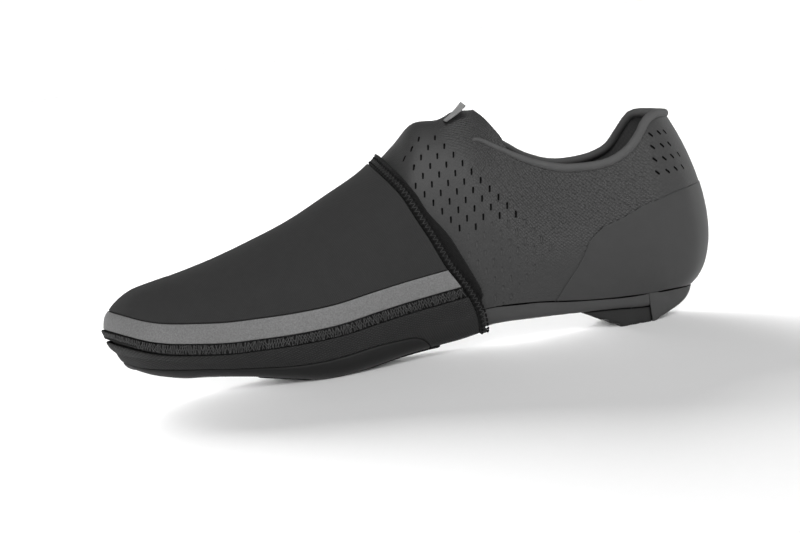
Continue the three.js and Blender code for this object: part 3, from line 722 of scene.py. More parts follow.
# Gives a cloth's shader its colour and its relief
def dress(tree, shader, colour, height, depth):
    relief = addNode(tree, "ShaderNodeBump", {}, {
        "Height": height, "Distance": depth, "Strength": 1.0})
    tree.links.new(colour, shader.inputs["Base Color"])
    tree.links.new(relief.outputs["Normal"], shader.inputs["Normal"])


# Two tones mixed by a noise of a real size
def mottled(tree, vector, toneA, toneB, size):
    noise = addNode(tree, "ShaderNodeTexNoise", {}, {
        "Vector": vector, "Scale": 1 / size, "Detail": 3.0})
    mix = addNode(tree, "ShaderNodeMix", {"data_type": "RGBA"}, {
        0: noise.outputs["Fac"], 6: linear(toneA), 7: linear(toneB)})
    return mix.outputs[2]


# Sizes are in metres: grain is that of the relief, patch that of the two tones
def plainCloth(name, toneA, toneB, rough, grain, depth, patch=0.006):
    material, tree, shader, place = newMaterial(name, {
        "Roughness": rough, "Specular IOR Level": 0.25})
    fine = addNode(tree, "ShaderNodeTexNoise", {}, {
        "Vector": place["Object"], "Scale": 1 / grain, "Detail": 2.0})
    colour = mottled(tree, place["Object"], toneA, toneB, patch)
    dress(tree, shader, colour, fine.outputs["Fac"], depth)
    return material


# Bands of a real width across the surface's own lengths
def bands(tree, vector, degrees, width):
    turned = addNode(tree, "ShaderNodeMapping", {}, {
        "Vector": vector, "Rotation": (0, 0, math.radians(degrees))})
    return addNode(tree, "ShaderNodeTexWave", {}, {
        "Vector": turned.outputs[0], "Scale": math.pi / 10 / width, "Distortion": 0.6,
        "Detail": 1.0}).outputs["Fac"]


def knitCloth(name, toneA, toneB, rough, degrees, width, depth, recessShade):
    material, tree, shader, place = newMaterial(name, {
        "Roughness": rough, "Specular IOR Level": 0.2, "Sheen Weight": 0.06})
    one = bands(tree, place["UV"], degrees, width)
    two = bands(tree, place["UV"], -degrees, width * 1.15)
    both = addNode(tree, "ShaderNodeMath", {"operation": "MULTIPLY"}, {0: one, 1: two})
    mixed = mottled(tree, place["Object"], toneA, toneB, 0.008)
    # painted shade: the colour is multiplied by the crossing bands, so the knit's grooves come out
    # darker than its ribs
    dark = addNode(tree, "ShaderNodeMix", {"data_type": "RGBA", "blend_type": "MULTIPLY"}, {
        0: recessShade, 6: mixed, 7: both.outputs[0]})
    dress(tree, shader, dark.outputs[2], both.outputs[0], depth)
    return material


# Knit coated with a thin film, pebbled where the grain attribute says so. The same attribute also
# paints shade: the smooth parts of the upper are painted darker than the pebbled ones
def coatedCloth(name, toneA, toneB, rough, cell, depth):
    material, tree, shader, place = newMaterial(name, {
        "Roughness": rough, "Specular IOR Level": 0.3})
    turned = addNode(tree, "ShaderNodeMapping", {}, {
        "Vector": place["UV"], "Rotation": (0, 0, math.pi / 4), "Scale": (1, 1.25, 1)})
    cells = addNode(tree, "ShaderNodeTexVoronoi", {"feature": "SMOOTH_F1"}, {
        "Vector": turned.outputs[0], "Scale": 1 / cell, "Smoothness": 0.3, "Randomness": 0.4})
    grain = addNode(tree, "ShaderNodeAttribute", {"attribute_name": "grain"}, {})
    height = addNode(tree, "ShaderNodeMath", {"operation": "MULTIPLY"}, {
        0: cells.outputs["Distance"], 1: grain.outputs["Fac"]})
    colour = mottled(tree, place["Object"], toneA, toneB, 0.007)
    # painted shade: darker between the pebbles than on their tops, and darker still where the grain is
    # low
    recessShade = addNode(tree, "ShaderNodeMath", {"operation": "MULTIPLY_ADD"}, {
        0: cells.outputs["Distance"], 1: -1.1, 2: 0.75})
    paintedShade = addNode(tree, "ShaderNodeMath", {"operation": "MULTIPLY_ADD"}, {
        0: recessShade.outputs[0], 1: grain.outputs["Fac"], 2: 0.86})
    shadedColour = addNode(tree, "ShaderNodeMix", {"data_type": "RGBA", "blend_type": "MULTIPLY"}, {
        0: 1.0, 6: colour, 7: paintedShade.outputs[0]})
    fine = addNode(tree, "ShaderNodeTexNoise", {}, {"Vector": place["UV"], "Scale": 2500.0})
    total = addNode(tree, "ShaderNodeMath", {"operation": "MULTIPLY_ADD"}, {
        0: fine.outputs["Fac"], 1: 0.06, 2: height.outputs[0]})
    dress(tree, shader, shadedColour.outputs[2], total.outputs[0], -depth)
    return material


# Foam rubber faced with fine jersey: even, matt and soft. Its 0.3 mm loops are drawn 0.7 mm
jerseyNeoprene = knitCloth("jerseyNeoprene", "#373737", "#3c3c3c", 0.85, 32, 0.0007, 0.00006, 0.25)
# Retro-reflective transfer film: pale grey specks from its beads, drawn coarser than they are
reflectiveFilm = plainCloth("reflectiveFilm", "#5c5c5c", "#939393", 0.45, 0.0005, 0.00015,
                            patch=0.0007)
# The bed under the overlock threads, nearly black between them
seamKnit = plainCloth("seamKnit", "#0c0c0c", "#161616", 0.9, 0.0008, 0.0003)
# Polyester thread of the overlock seam, mottled grey and black
overlockThread = plainCloth("overlockThread", "#090909", "#606060", 0.6, 0.002, 0.00005,
                            patch=0.0011)
# Dark polyester thread of the hem's flat-lock seam, slightly glossy
flatThread = plainCloth("flatThread", "#181818", "#454545", 0.6, 0.002, 0.00005, patch=0.002)
# Ribbed stretch knit: fine slanted ribs about a millimetre apart
ribKnit = knitCloth("ribKnit", "#373737", "#404040", 0.9, 58, 0.0011, 0.00025, 0.45)
# Moulded grip rubber: smooth and nearly black
gripRubber = plainCloth("gripRubber", "#1c1c1c", "#222222", 0.6, 0.0015, 0.0001)
# Folded elastic binding: dark, with a fine slanted weave
hemBinding = knitCloth("hemBinding", "#171717", "#222222", 0.9, 45, 0.0006, 0.00015, 0.3)
# Knit under a thin polyurethane coating, pebbled every 1.5 mm along the collar
coatedKnit = coatedCloth("coatedKnit", "#404040", "#464646", 0.5, 0.0015, 0.0011)
# Near-black painted shade inside the perforations, which stop short of the lining; also the dark
# thread of the hem's stitch rows
holeShadeAndThread = plainCloth("holeShadeAndThread", "#060606", "#0e0e0e", 0.9, 0.001, 0.0001)
# Painted highlight: light grey inside the shallow blind slots, standing in for the light their rims
# catch
dimpleHighlight = plainCloth("dimpleHighlight", "#484848", "#626262", 0.8, 0.0008, 0.0002, patch=0.0008)
# Bonded thermoplastic film round the heel: smooth, with a low sheen
counterFilm = plainCloth("counterFilm", "#404040", "#454545", 0.5, 0.003, 0.00003)
# Stretch knit round the collar's piping: lighter than the upper, matt
pipingKnit = plainCloth("pipingKnit", "#525252", "#5c5c5c", 0.7, 0.0006, 0.00008)
# Brushed polyester mesh of the lining: no gloss at all
liningKnit = knitCloth("liningKnit", "#505050", "#5a5a5a", 0.95, 45, 0.0013, 0.0001, 0.15)
# Fibre-reinforced nylon plate, moulded: a dull even sheen
soleShell = plainCloth("soleShell", "#444444", "#4a4a4a", 0.45, 0.002, 0.00003)
# Thermoplastic rubber of the heel bumper, moulded smooth
heelRubber = plainCloth("heelRubber", "#454545", "#4b4b4b", 0.65, 0.001, 0.00006)
# Harder tread rubber, darker than the bumper: partly its own colour and partly painted shade for its
# front, which faces forward and down
treadRubber = plainCloth("treadRubber", "#2a2a2a", "#303030", 0.7, 0.001, 0.00006)
# Woven polyester tape of the tab, blank
wovenTape = knitCloth("wovenTape", "#a0a0a0", "#b4b4b4", 0.8, 45, 0.0006, 0.0001, 0.2)
# Painted studio floor, matt white
floorWhite = plainCloth("floorWhite", "#f6f6f6", "#f8f8f8", 0.95, 0.01, 0.00001)
print("materials made")


# Fields: how far inside an outline a point lies, in millimetres, on the side view
def overLine(rows, dz=0.0):
    line = heightAlong(rows, shoe["collar"])

    def field(points):
        x = points[:, 0]
        slope = (line(x + 1) - line(x - 1)) / 2
        return (points[:, 2] - line(x) - dz) / np.sqrt(1 + slope**2)
    return field


def underLine(rows, dz=0.0):
    over = overLine(rows, dz)
    return lambda points: -over(points)


def inFront(rows, dx=0.0):
    line = placeUp(rows, shoe["collar"])

    def field(points):
        z = points[:, 2]
        slope = (line(z + 1) - line(z - 1)) / 2
        return (line(z) + dx - points[:, 0]) / np.sqrt(1 + slope**2)
    return field


def behind(rows):
    front = inFront(rows)
    return lambda points: -front(points)


# Inside two edges at once, with their corner rounded
def insideBoth(first, second, turn):
    short = np.hypot(np.maximum(turn - first, 0), np.maximum(turn - second, 0))
    return np.where((first < turn) & (second < turn), turn - short, np.minimum(first, second))


# The rubber panel's outline: below its top line and in front of its rounded rear corner
def inRubber(points, grow=0.0):
    rear = xAt(cover["rubberBack"]) - points[:, 0]
    return insideBoth(underLine(rubberTop)(points), rear, cover["rubberTurn"]) + grow


cover = {
    "step": 1.6, "startRib": 6.5, "soleRows": 60,
    "neoprene": 2.5, "topRim": 0.7,
    "strip": 9.4, "stripRecess": 0.6, "recessRun": 0.3, "stripProud": 0.25, "stripWall": 0.5,
    "stripRim": 0.35,
    "seam": 4.8, "seamWall": 3.1, "seamPanel": 2.2, "seamRim": 1.2,
    "knit": 1.6, "sideRim": 0.5, "sideSwell": 1.2, "swellReach": 9.0,
    "rubber": 1.9, "rubberBack": 0.495, "rubberTurn": 9.0, "soleRim": 0.9,
    "windowFront": 0.778, "windowBack": 0.478, "windowWidth": 50,
    "binding": 4.5, "bindingProud": 1.2, "bindingWall": 2.2, "bindingRim": 1.2,
    "bindingStep": 1.2,
    "hemWall": 2.2, "hemPanel": 1.8, "hemStep": 0.7, "hemRows": (70, 90), "hemEnd": 14,
    "hemRim": 0.8, "band": 4.6, "rollProud": 0.8, "fold": 0.5, "foldWidth": 0.35,
}
clear, gap = shoe["coverClearance"], shoe["gap"]
upperRows = np.linspace(0, 1, 52)
underRows = np.concatenate([np.linspace(-1, -0.62, 18), np.linspace(-0.6, 0, 22)])
allRows = np.concatenate([underRows, upperRows[1:]])
soleRows = allRows[:cover["soleRows"]]
coverStart = cover["startRib"] / loopCount
behindHem = inFront(hemFront, -gap)


def inWindow(points, grow=0.0):
    x, y = points[:, 0], points[:, 1]
    half = cover["windowWidth"] / 2 + grow
    return np.minimum.reduce([half - y, half + y, x - xAt(cover["windowFront"]) + grow,
                              xAt(cover["windowBack"]) + grow - x,
                              shoe["arch"] - points[:, 2]])


def outsideWindow(points):
    return -inWindow(points, gap)


# A sheet of the cover cut to its outline, and how far its rounded rim drops
def coverSheet(rows, fields, lift, rim, step=cover["step"], window=False):
    sheet = trimSheet(gridSheet(step, rows, coverStart), fields, lift, rim)
    if window:
        sheet = cutSheet(sheet, outsideWindow, 0, lift)
    return sheet, rimDrop(sheet, fields, lift, rim)


def makeCoverTop():
    lift = clear + cover["neoprene"]
    besideStrip = overLine(stripBottom, cover["strip"] + gap)
    sheet = gridSheet(cover["step"], upperRows, coverStart)
    for level in (0, cover["recessRun"]):
        sheet = cutSheet(sheet, besideStrip, level, lift, True)
    sheet = trimSheet(sheet, [behindHem, overLine(stripBottom)], lift, cover["topRim"])
    recess = besideStrip(sheetPoints(sheet, lift))
    height = lift - cover["stripRecess"] * (1 - ease(0, cover["recessRun"], recess))
    height = height - rimDrop(sheet, [behindHem], lift, cover["topRim"])
    piece = panel("coverTop", sheet, height, cover["neoprene"] - cover["stripRecess"],
                  [jerseyNeoprene])
    finishPiece(piece, "neoprene", "cover_top")


def makeCoverStrip():
    lift = clear + cover["neoprene"] + cover["stripProud"]
    fields = [behindHem, overLine(stripBottom, gap), underLine(stripBottom, cover["strip"])]
    sheet, drop = coverSheet(upperRows, fields, lift, cover["stripRim"])
    piece = panel("coverStrip", sheet, lift - drop, cover["stripWall"], [reflectiveFilm])
    finishPiece(piece, "reflective_tape", "cover_strip")


def makeCoverSeam():
    lift = clear + cover["seamWall"]
    fields = [behindHem, underLine(stripBottom, -gap), overLine(stripBottom, -cover["seam"])]
    sheet, drop = coverSheet(allRows, fields, lift, cover["seamRim"])
    piece = panel("coverSeam", sheet, lift - drop, cover["seamPanel"], [seamKnit])
    finishPiece(piece, "seam_thread", "cover_seam")


def makeCoverSide():
    lift = clear + cover["knit"]
    underSeam = underLine(stripBottom, -cover["seam"] - gap)
    fields = [behindHem, underSeam, lambda points: -inRubber(points, gap)]
    sheet, drop = coverSheet(allRows, fields, lift, cover["sideRim"], window=True)
    below = underSeam(sheetPoints(sheet, lift))
    swell = cover["sideSwell"] * (1 - ease(0, cover["swellReach"], below))
    piece = panel("coverSide", sheet, lift + swell - drop, cover["knit"], [ribKnit])
    finishPiece(piece, "rib_knit", "cover_side")


def makeCoverSole():
    lift = clear + cover["rubber"]
    sheet, drop = coverSheet(soleRows, [inRubber], lift, cover["soleRim"], window=True)
    piece = panel("coverSole", sheet, lift - drop, cover["rubber"], [gripRubber])
    finishPiece(piece, "grip_rubber", "cover_sole")


def makeCoverBinding():
    lift = clear + cover["rubber"] + cover["bindingProud"]
    fields = [inWindow, lambda points: -inWindow(points, -cover["binding"])]
    sheet, drop = coverSheet(soleRows, fields, lift, cover["bindingRim"], cover["bindingStep"])
    piece = panel("coverBinding", sheet, lift - drop, cover["bindingWall"], [hemBinding])
    finishPiece(piece, "hem_binding", "cover_binding")


def makeCoverHem():
    lift = clear + cover["hemWall"]
    fields = [inFront(hemBack), behind(hemFront)]
    below, above = cover["hemRows"]
    rows = np.concatenate([np.linspace(-1, 0, below), np.linspace(0, 1, above)[1:]])
    sheet = gridSheet(cover["hemStep"], rows, coverStart, uTo=cover["hemEnd"] / loopCount)
    sheet = trimSheet(sheet, fields, lift, cover["hemRim"])
    points = sheetPoints(sheet, lift)
    back = behind(hemFront)(points)
    width = back + inFront(hemBack)(points) - cover["band"]
    across = (back - cover["band"]) / np.maximum(width, 1) * 2 - 1
    roll = cover["rollProud"] * np.sqrt(np.clip(1 - across**2, 0, 1))
    fold = cover["fold"] * np.exp(-((back - cover["band"]) / cover["foldWidth"])**2)
    height = lift - rimDrop(sheet, fields, lift, cover["hemRim"]) + roll - fold
    piece = panel("coverHem", sheet, height, cover["hemPanel"], [hemBinding])
    finishPiece(piece, "hem_binding", "cover_hem")


makeCoverTop()
makeCoverStrip()
makeCoverSeam()
makeCoverSide()
makeCoverSole()
makeCoverBinding()
makeCoverHem()
print("toe cover made")

stitches = {
    "overlockStep": 0.62, "overlockWidth": 0.0044, "overlockThread": 0.0002,
    "overlockRise": 0.0003, "overlockSlant": 0.3, "overlockJitter": 0.42, "points": 900,
    "hemClear": 0.6,
    "hemStep": 2.2, "hemRows": (0.9, 3.7), "hemLength": 0.0012, "hemThread": 0.00045,
    "hemRise": 0.0004, "hemRibs": (4.6, 14.5), "hemPoints": 500,
    "crossWidth": 0.0036, "crossThread": 0.00024, "crossRise": 0.0002, "crossSlant": 0.5,
}
thread = threadGroup()


# Threads that slant one way and the other in turn
def slanted(run, normals, slant):
    run = run / np.linalg.norm(run, axis=1, keepdims=True)
    way = np.where(np.arange(len(run)) % 2, 1, -1)[:, None] * slant
    return np.cross(normals, run) + run * way


def sewThreads(name, place, ys, normal, slotName, values):
    piece = repeated(name, thread, place, ys, normal, values)
    smoothShade(piece)
    finishPiece(piece, slotName)


def makeOverlock():
    lift = clear + cover["seamWall"]
    us = np.linspace(coverStart, 1 - coverStart, stitches["points"])
    line, normals = lineRound(overLine(stripBottom), -cover["seam"] / 2, us, -0.3, 0.9, lift)
    keep = behindHem(line) > stitches["hemClear"]
    place, run, normal = evenly(line[keep], normals[keep], stitches["overlockStep"])
    ys = slanted(run, normal, stitches["overlockSlant"])
    sewThreads("overlockThreads", place, ys, normal, "seam_thread", {
        "Width": stitches["overlockWidth"], "Thread": stitches["overlockThread"],
        "Rise": stitches["overlockRise"], "Jitter": stitches["overlockJitter"],
        "Material": overlockThread})


def makeHemStitches():
    lift = clear + cover["hemWall"]
    field = behind(hemFront)
    ts = np.linspace(-0.95, 0.995, stitches["hemPoints"])
    near, far = (rib / loopCount for rib in stitches["hemRibs"])
    rows, zigzags = [], []
    for low, high in ((near, far), (1 - near, 1 - far)):
        for level in stitches["hemRows"]:
            line, normals = lineUp(field, level, ts, low, high, lift)
            rows.append(evenly(line, normals, stitches["hemStep"]))
        line, normals = lineUp(field, sum(stitches["hemRows"]) / 2, ts, low, high, lift)
        zigzags.append(evenly(line, normals, stitches["hemStep"] / 2))
    place, run, normal = (np.concatenate([row[k] for row in rows]) for k in range(3))
    sewThreads("hemStitches", place, run, normal, "hem_binding", {
        "Width": stitches["hemLength"], "Thread": stitches["hemThread"],
        "Rise": stitches["hemRise"], "Material": holeShadeAndThread})
    place, run, normal = (np.concatenate([row[k] for row in zigzags]) for k in range(3))
    ys = slanted(run, normal, stitches["crossSlant"])
    sewThreads("hemThreads", place, ys, normal, "hem_binding", {
        "Width": stitches["crossWidth"], "Thread": stitches["crossThread"],
        "Rise": stitches["crossRise"], "Material": flatThread})


makeOverlock()
makeHemStitches()

upper = {
    "step": 1.5, "rim": 0.5, "counterWall": 0.85, "counterStep": 0.3, "flapTop": 119.0,
    "flapTurn": 5.0, "collarFront": 0.33, "creaseWidth": 1.5, "creaseDepth": 0.45,
    "creaseRidge": 0.5, "outerWall": 1.4, "seatRun": (0.3, 1.5), "counterPanel": 0.75,
    # the pebble keys shape both the pebbling and the coated knit's painted shade
    "counterRim": 0.25, "pebbleLeast": 0.1, "pebbleFront": (30, 52), "pebbleBack": (112, 122),
    "pebbleFoot": (28, 60), "pebbleLean": (0.35, 70),
}
# Flex creases, given one by one: side, how deep, points (x, z) as seen from the side
creases = [
    (-1, 1.0, [(46, 79), (53, 76.5), (60, 76), (66, 77)]),
    (-1, 0.8, [(45, 72.5), (52, 70.5), (59, 70.5), (64, 71.5)]),
    (-1, 0.7, [(47, 66.5), (53, 65), (59, 65)]),
    (-1, 0.6, [(84, 40), (88, 48), (94, 54)]),
    (1, 1.0, [(44, 80), (52, 77.5), (60, 77.5), (67, 79)]),
    (1, 0.8, [(46, 73), (54, 71), (62, 71.5)]),
    (1, 0.6, [(82, 40), (87, 49), (94, 55)]),
]


# Each crease is a shallow groove with a low ridge along its upper side
def creased(points):
    height = np.zeros(len(points))
    for side, depth, line in creases:
        line = np.array(line, float)
        near = np.full(len(points), 1e9)
        over = np.zeros(len(points))
        for a, b in zip(line[:-1], line[1:]):
            run = b - a
            at = points[:, [0, 2]] - a
            part = np.clip(at @ run / (run @ run), 0, 1)
            miss = at - part[:, None] * run
            far = np.hypot(miss[:, 0], miss[:, 1])
            closer = far < near
            near = np.where(closer, far, near)
            over = np.where(closer, np.sign(run[0] * at[:, 1] - run[1] * at[:, 0]), over)
        width = upper["creaseWidth"]
        groove = -np.exp(-(near / width)**2)
        ridge = upper["creaseRidge"] * np.exp(-((near - 2 * width) / width)**2) * (over > 0)
        here = (points[:, 1] * side > 0) * depth * upper["creaseDepth"]
        height += here * (groove + ridge)
    return height


# Inside the collar line or in front of the flap's back edge, its peak rounded
def underCollar(points):
    outer = underLine(collarOuter)(points)
    inner = underLine(collarInner)(points)
    side = np.where(points[:, 1] < 0, outer, inner)
    side = np.where(points[:, 0] < xAt(upper["collarFront"]), -heelBack, side)
    below = upper["flapTop"] - points[:, 2]
    flap = insideBoth(below, inFront(flapBack)(points), upper["flapTurn"])
    return np.maximum(side, flap)


def outsideThroat(points):
    x, y = points[:, 0], points[:, 1]
    half = shoe["throatWidth"] / 2
    inside = np.minimum.reduce([half - (y - shoe["throatCentre"]),
                                half + (y - shoe["throatCentre"]),
                                x - xAt(shoe["throatFront"]), xAt(shoe["throatBack"]) - x,
                                points[:, 2] - shoe["throatFloor"]])
    return -inside


perforations = {
    "origin": (20.4, 100.2), "down": (3.26, -4.46), "across": (-7.5, 0.6), "columns": 7,
    "rows": 13, "through": 9.2, "radius": 0.00046, "stretch": 0.00115, "lean": 9.5,
    "heel": [
        (119.0, 85.4), (123.5, 85.6), (126.8, 85.4), (118.8, 79.6), (123.7, 79.6), (127.7, 79.5),
        (118.6, 73.8), (123.5, 73.5), (127.8, 73.8), (131.7, 73.9), (118.7, 67.7), (123.9, 67.5),
        (128.3, 67.9), (132.3, 68.0),
    ],
    "heelLean": -48, "heelRadius": 0.00055, "heelStretch": 0.0009, "deep": 1.1,
    "shallow": 0.45, "hemClear": 2, "rankTilt": 0.4, "miss": 0.4,
}
slot = slotGroup()


# Places on one side of the last that look from the side like the given points
def placesOn(side, looks):
    looks = np.asarray(looks, float)
    us = np.linspace(0.012, 0.45, 420)
    us = us if side < 0 else 1 - us
    ts = np.linspace(0.02, 0.995, 160)
    net = surface(us[:, None], ts[None, :])
    u, t = np.zeros(len(looks)), np.zeros(len(looks))
    for k, (x, z) in enumerate(looks):
        far = (net[..., 0] - x)**2 + (net[..., 2] - z)**2
        i, j = np.unravel_index(np.argmin(far), far.shape)
        u[k], t[k] = us[i], ts[j]
    for _ in range(3):
        here = surface(u, t)
        byU = (surface(u + 1e-4, t) - surface(u - 1e-4, t)) / 2e-4
        byT = (surface(u, t + 1e-4) - surface(u, t - 1e-4)) / 2e-4
        miss = looks - here[:, [0, 2]]
        size = byU[:, 0] * byT[:, 2] - byU[:, 2] * byT[:, 0]
        size = np.where(np.abs(size) < 1, 1e9, size)
        u = u + np.clip((miss[:, 0] * byT[:, 2] - miss[:, 1] * byT[:, 0]) / size, -2e-3, 2e-3)
        t = t + np.clip((byU[:, 0] * miss[:, 1] - byU[:, 2] * miss[:, 0]) / size, -8e-3, 8e-3)
        t = np.clip(t, 0, 0.999)
    here = surface(u, t)
    found = np.hypot(here[:, 0] - looks[:, 0], here[:, 2] - looks[:, 1]) < perforations["miss"]
    return u[found], t[found]


def cutSlots(piece, side, looks, lean, depth, radius, stretch, material):
    u, t = placesOn(side, looks)
    place, normal = surface(u, t), surfaceNormal(u, t)
    turn = math.radians(lean)
    along = np.broadcast_to([math.sin(turn), 0, math.cos(turn)], place.shape)
    cutter = repeated("slots", slot, place + normal * (1 - depth) / 2, along, normal, {
        "Radius": radius, "Stretch": stretch, "Depth": (1 + depth) / 1000,
        "Material": material})
    cut = piece.modifiers.new("cut", "BOOLEAN")
    cut.operation = "DIFFERENCE"
    cut.solver = "EXACT"
    cut.material_mode = "TRANSFER"
    cut.object = cutter
    bakeModifiers(piece)
    bpy.data.objects.remove(cutter)


def sideSlots():
    through, blind = [], []
    (x, z), down, across = (perforations[k] for k in ("origin", "down", "across"))
    for k in range(perforations["columns"]):
        for j in range(max(k - 1, 0), perforations["rows"] + k + 1):
            at = (x + j * down[0] + k * across[0], z + j * down[1] + k * across[1])
            hem = behind(hemBack)(np.array([[at[0], 0, at[1]]]))[0]
            if hem < perforations["hemClear"]:
                continue
            rank = j - k * perforations["rankTilt"]
            (through if rank < perforations["through"] else blind).append(at)
    return through, blind


def makePerforations(piece):
    through, blind = sideSlots()
    # the through and heel slots stop short of the lining and are lined with a near-black painted
    # shade; the blind slots get a light-grey painted highlight
    kinds = (
        (through, ("lean", "deep", "radius", "stretch"), holeShadeAndThread),
        (blind, ("lean", "shallow", "radius", "stretch"), dimpleHighlight),
        (perforations["heel"], ("heelLean", "deep", "heelRadius", "heelStretch"), holeShadeAndThread),
    )
    for side in (-1, 1):
        for looks, keys, material in kinds:
            cutSlots(piece, side, looks, *(perforations[key] for key in keys), material)
    smoothShade(piece)
    print("perforations cut", len(through), len(blind))


# Pebbled along the collar and down to the counter, smooth at the flap, front and heel. The same field
# sets the coated knit's painted shade, darker where it is smooth
def pebbled(points):
    x, z = points[:, 0], points[:, 2]
    lean, level = upper["pebbleLean"]
    least = upper["pebbleLeast"]
    return (least + (1 - least) * ease(*upper["pebbleFront"], x + lean * (z - level))
            * (1 - ease(*upper["pebbleBack"], x)) * ease(*upper["pebbleFoot"], z))


def makeUpper():
    rows = np.concatenate([np.linspace(0, 0.03, 3), np.linspace(0.05, 1, 64)])
    fields = [underCollar, outsideThroat]
    sheet = trimSheet(gridSheet(upper["step"], rows), fields, 0.0, upper["rim"])
    counter = underLine(counterTop)
    seat = upper["counterWall"] + gap - upper["counterStep"]
    points = sheetPoints(sheet, 0.0)
    deep = ease(*upper["seatRun"], counter(points))
    height = -rimDrop(sheet, fields, 0.0, upper["rim"]) - seat * deep
    height = height + creased(points) * (1 - deep)
    piece = panel("upperShell", sheet, height, upper["outerWall"], [coatedKnit, liningKnit],
                  pebbled(points))
    makePerforations(piece)
    finishPiece(piece, "upper_fabric", "upper")


def makeCounter():
    lift = upper["counterStep"]
    fields = [underLine(counterTop)]
    rows = np.linspace(0, 0.8, 50)
    sheet = trimSheet(gridSheet(upper["step"], rows), fields, lift, upper["counterRim"])
    height = lift - rimDrop(sheet, fields, lift, upper["counterRim"])
    piece = panel("heelCounter", sheet, height, upper["counterPanel"], [counterFilm])
    finishPiece(piece, "counter_film", "heel_counter")


piping = {
    "radius": 2.15, "frontRadius": 1.15, "taper": (38, 80), "seat": 0.8, "endRib": 6.9,
    "points": 70, "sides": 18, "halvings": 24, "endRings": (0.3, 0.7, 0.98),
}


def pipingPath():
    reach = piping["endRib"] / loopCount
    u = np.linspace(reach, -reach, piping["points"]) % 1
    outer = heightAlong(collarOuter, shoe["collar"])
    inner = heightAlong(collarInner, shoe["collar"])

    def underRim(t):
        point = surface(u, t)
        return point[:, 2] < np.where(u < 0.5, outer(point[:, 0]), inner(point[:, 0]))

    t = lastPlace(np.zeros_like(u), np.ones_like(u), underRim, piping["halvings"])
    path = surface(u, t) - surfaceNormal(u, t) * shoe["wall"] / 2
    path[:, 2] += piping["radius"] * piping["seat"]
    return path


# A tube round a path, with rounded ends
def tube(name, path, radius, sides, material):
    run = np.gradient(path, axis=0)
    run /= np.linalg.norm(run, axis=1, keepdims=True)
    side = np.cross(run, [0, 0, 1.0])
    side /= np.linalg.norm(side, axis=1, keepdims=True)
    over = np.cross(side, run)
    turn = np.linspace(0, 2 * math.pi, sides, endpoint=False)
    rings = []
    ends = [(0, -cap) for cap in piping["endRings"][::-1]]
    ends += [(k, 0) for k in range(len(path))] + [(-1, cap) for cap in piping["endRings"]]
    for k, cap in ends:
        size = radius[k] * math.sqrt(1 - cap**2)
        centre = path[k] + run[k] * radius[k] * cap
        rings.append(centre + size * (np.cos(turn)[:, None] * side[k]
                                      + np.sin(turn)[:, None] * over[k]))
    points = toModel(np.concatenate(rings))
    faces = []
    for j in range(len(rings) - 1):
        for i in range(sides):
            a, b = j * sides + i, j * sides + (i + 1) % sides
            faces.append([a, b, b + sides, a + sides])
    faces.append(list(range(sides))[::-1])
    faces.append(list(range((len(rings) - 1) * sides, len(rings) * sides)))
    piece = newPiece(name, points, faces)
    piece.data.materials.append(material)
    facesOut(piece)
    smoothShade(piece)
    return piece


def makePiping():
    path = pipingPath()
    front, full = piping["frontRadius"], piping["radius"]
    radius = front + (full - front) * ease(*piping["taper"], path[:, 0])
    piece = tube("collarPiping", path, radius, piping["sides"], pipingKnit)
    finishPiece(piece, "piping", "collar_piping")


tongue = {
    "wall": 3.2, "width": 44, "front": 0.68, "back": 0.354, "rounding": 9, "points": 33,
    "bridgeRise": 0.08, "edge": 1.0, "droop": 2.5, "droopFrom": 14, "step": 1.6,
    "sideFrom": 0.45, "sidePoints": 40, "bridgePoints": 9, "leastWidth": 0.3,
}


# One section of the tongue: over the ridge or, behind it, bridged from flap to flap
def tongueSection(u):
    t = np.linspace(tongue["sideFrom"], 1, tongue["sidePoints"])
    outer, inner = surface(u, t), surface(1 - u, t[::-1])
    gapHalf = (inner[0, 1] - outer[-1, 1]) / 2
    bridge = np.linspace(-1, 1, tongue["bridgePoints"])[1:-1, None]
    middle = (outer[-1] + inner[0]) / 2 + bridge * (inner[0] - outer[-1]) / 2
    middle[:, 2] += tongue["bridgeRise"] * gapHalf * (1 - bridge[:, 0]**2)
    section = np.concatenate([outer, middle, inner])
    short = max(section[len(section) // 2, 0] - xAt(tongue["back"]) + tongue["rounding"], 0)
    narrow = max(1 - (short / tongue["rounding"])**2, tongue["leastWidth"]**2)
    half = tongue["width"] / 2 * math.sqrt(narrow)
    across = shoe["throatCentre"] + half * np.linspace(-1, 1, tongue["points"])
    order = np.argsort(section[:, 1])
    section = section[order]
    return np.stack([np.interp(across, section[:, 1], section[:, k]) for k in (0, 1, 2)], 1)


def makeTongue():
    us = stations(tongue["step"])
    us = us[(us < 0.5) & (ribPlace(us) < toeFan - 1)]
    rows = np.array([tongueSection(u) for u in us])
    middle = rows[:, tongue["points"] // 2, 0]
    rows = rows[(middle < xAt(tongue["back"])) & (middle > xAt(tongue["front"]))]
    along, across = np.gradient(rows, axis=0), np.gradient(rows, axis=1)
    normal = np.cross(along, across)
    normal /= np.linalg.norm(normal, axis=2, keepdims=True)
    normal *= np.sign(normal[..., 2:])
    points = rows - normal * (shoe["wall"] + gap)
    near = (points[..., 0] - xAt(tongue["back"])) / tongue["droopFrom"] + 1
    points[..., 2] -= tongue["droop"] * np.clip(near, 0, 1)**2
    faces = gridFaces(len(rows), tongue["points"])
    flat = points.reshape(-1, 3)
    piece = newPiece("tonguePad", toModel(flat), faces, flat[:, :2] / 1000)
    piece.data.materials.append(liningKnit)
    work = bmesh.new()
    work.from_mesh(piece.data)
    if sum(face.normal.z for face in work.faces) < 0:
        bmesh.ops.reverse_faces(work, faces=work.faces)
    work.to_mesh(piece.data)
    work.free()
    addWall(piece, tongue["wall"])
    roundEdges(piece, tongue["edge"], 3)
    bakeModifiers(piece)
    smoothShade(piece)
    finishPiece(piece, "lining", "tongue")


tab = {"length": 12, "width": 6, "thickness": 1, "angle": 33, "twist": (2, 22), "bend": 1.0,
       "centre": (0.0336, -0.0096, 0.1102), "edge": 0.3}


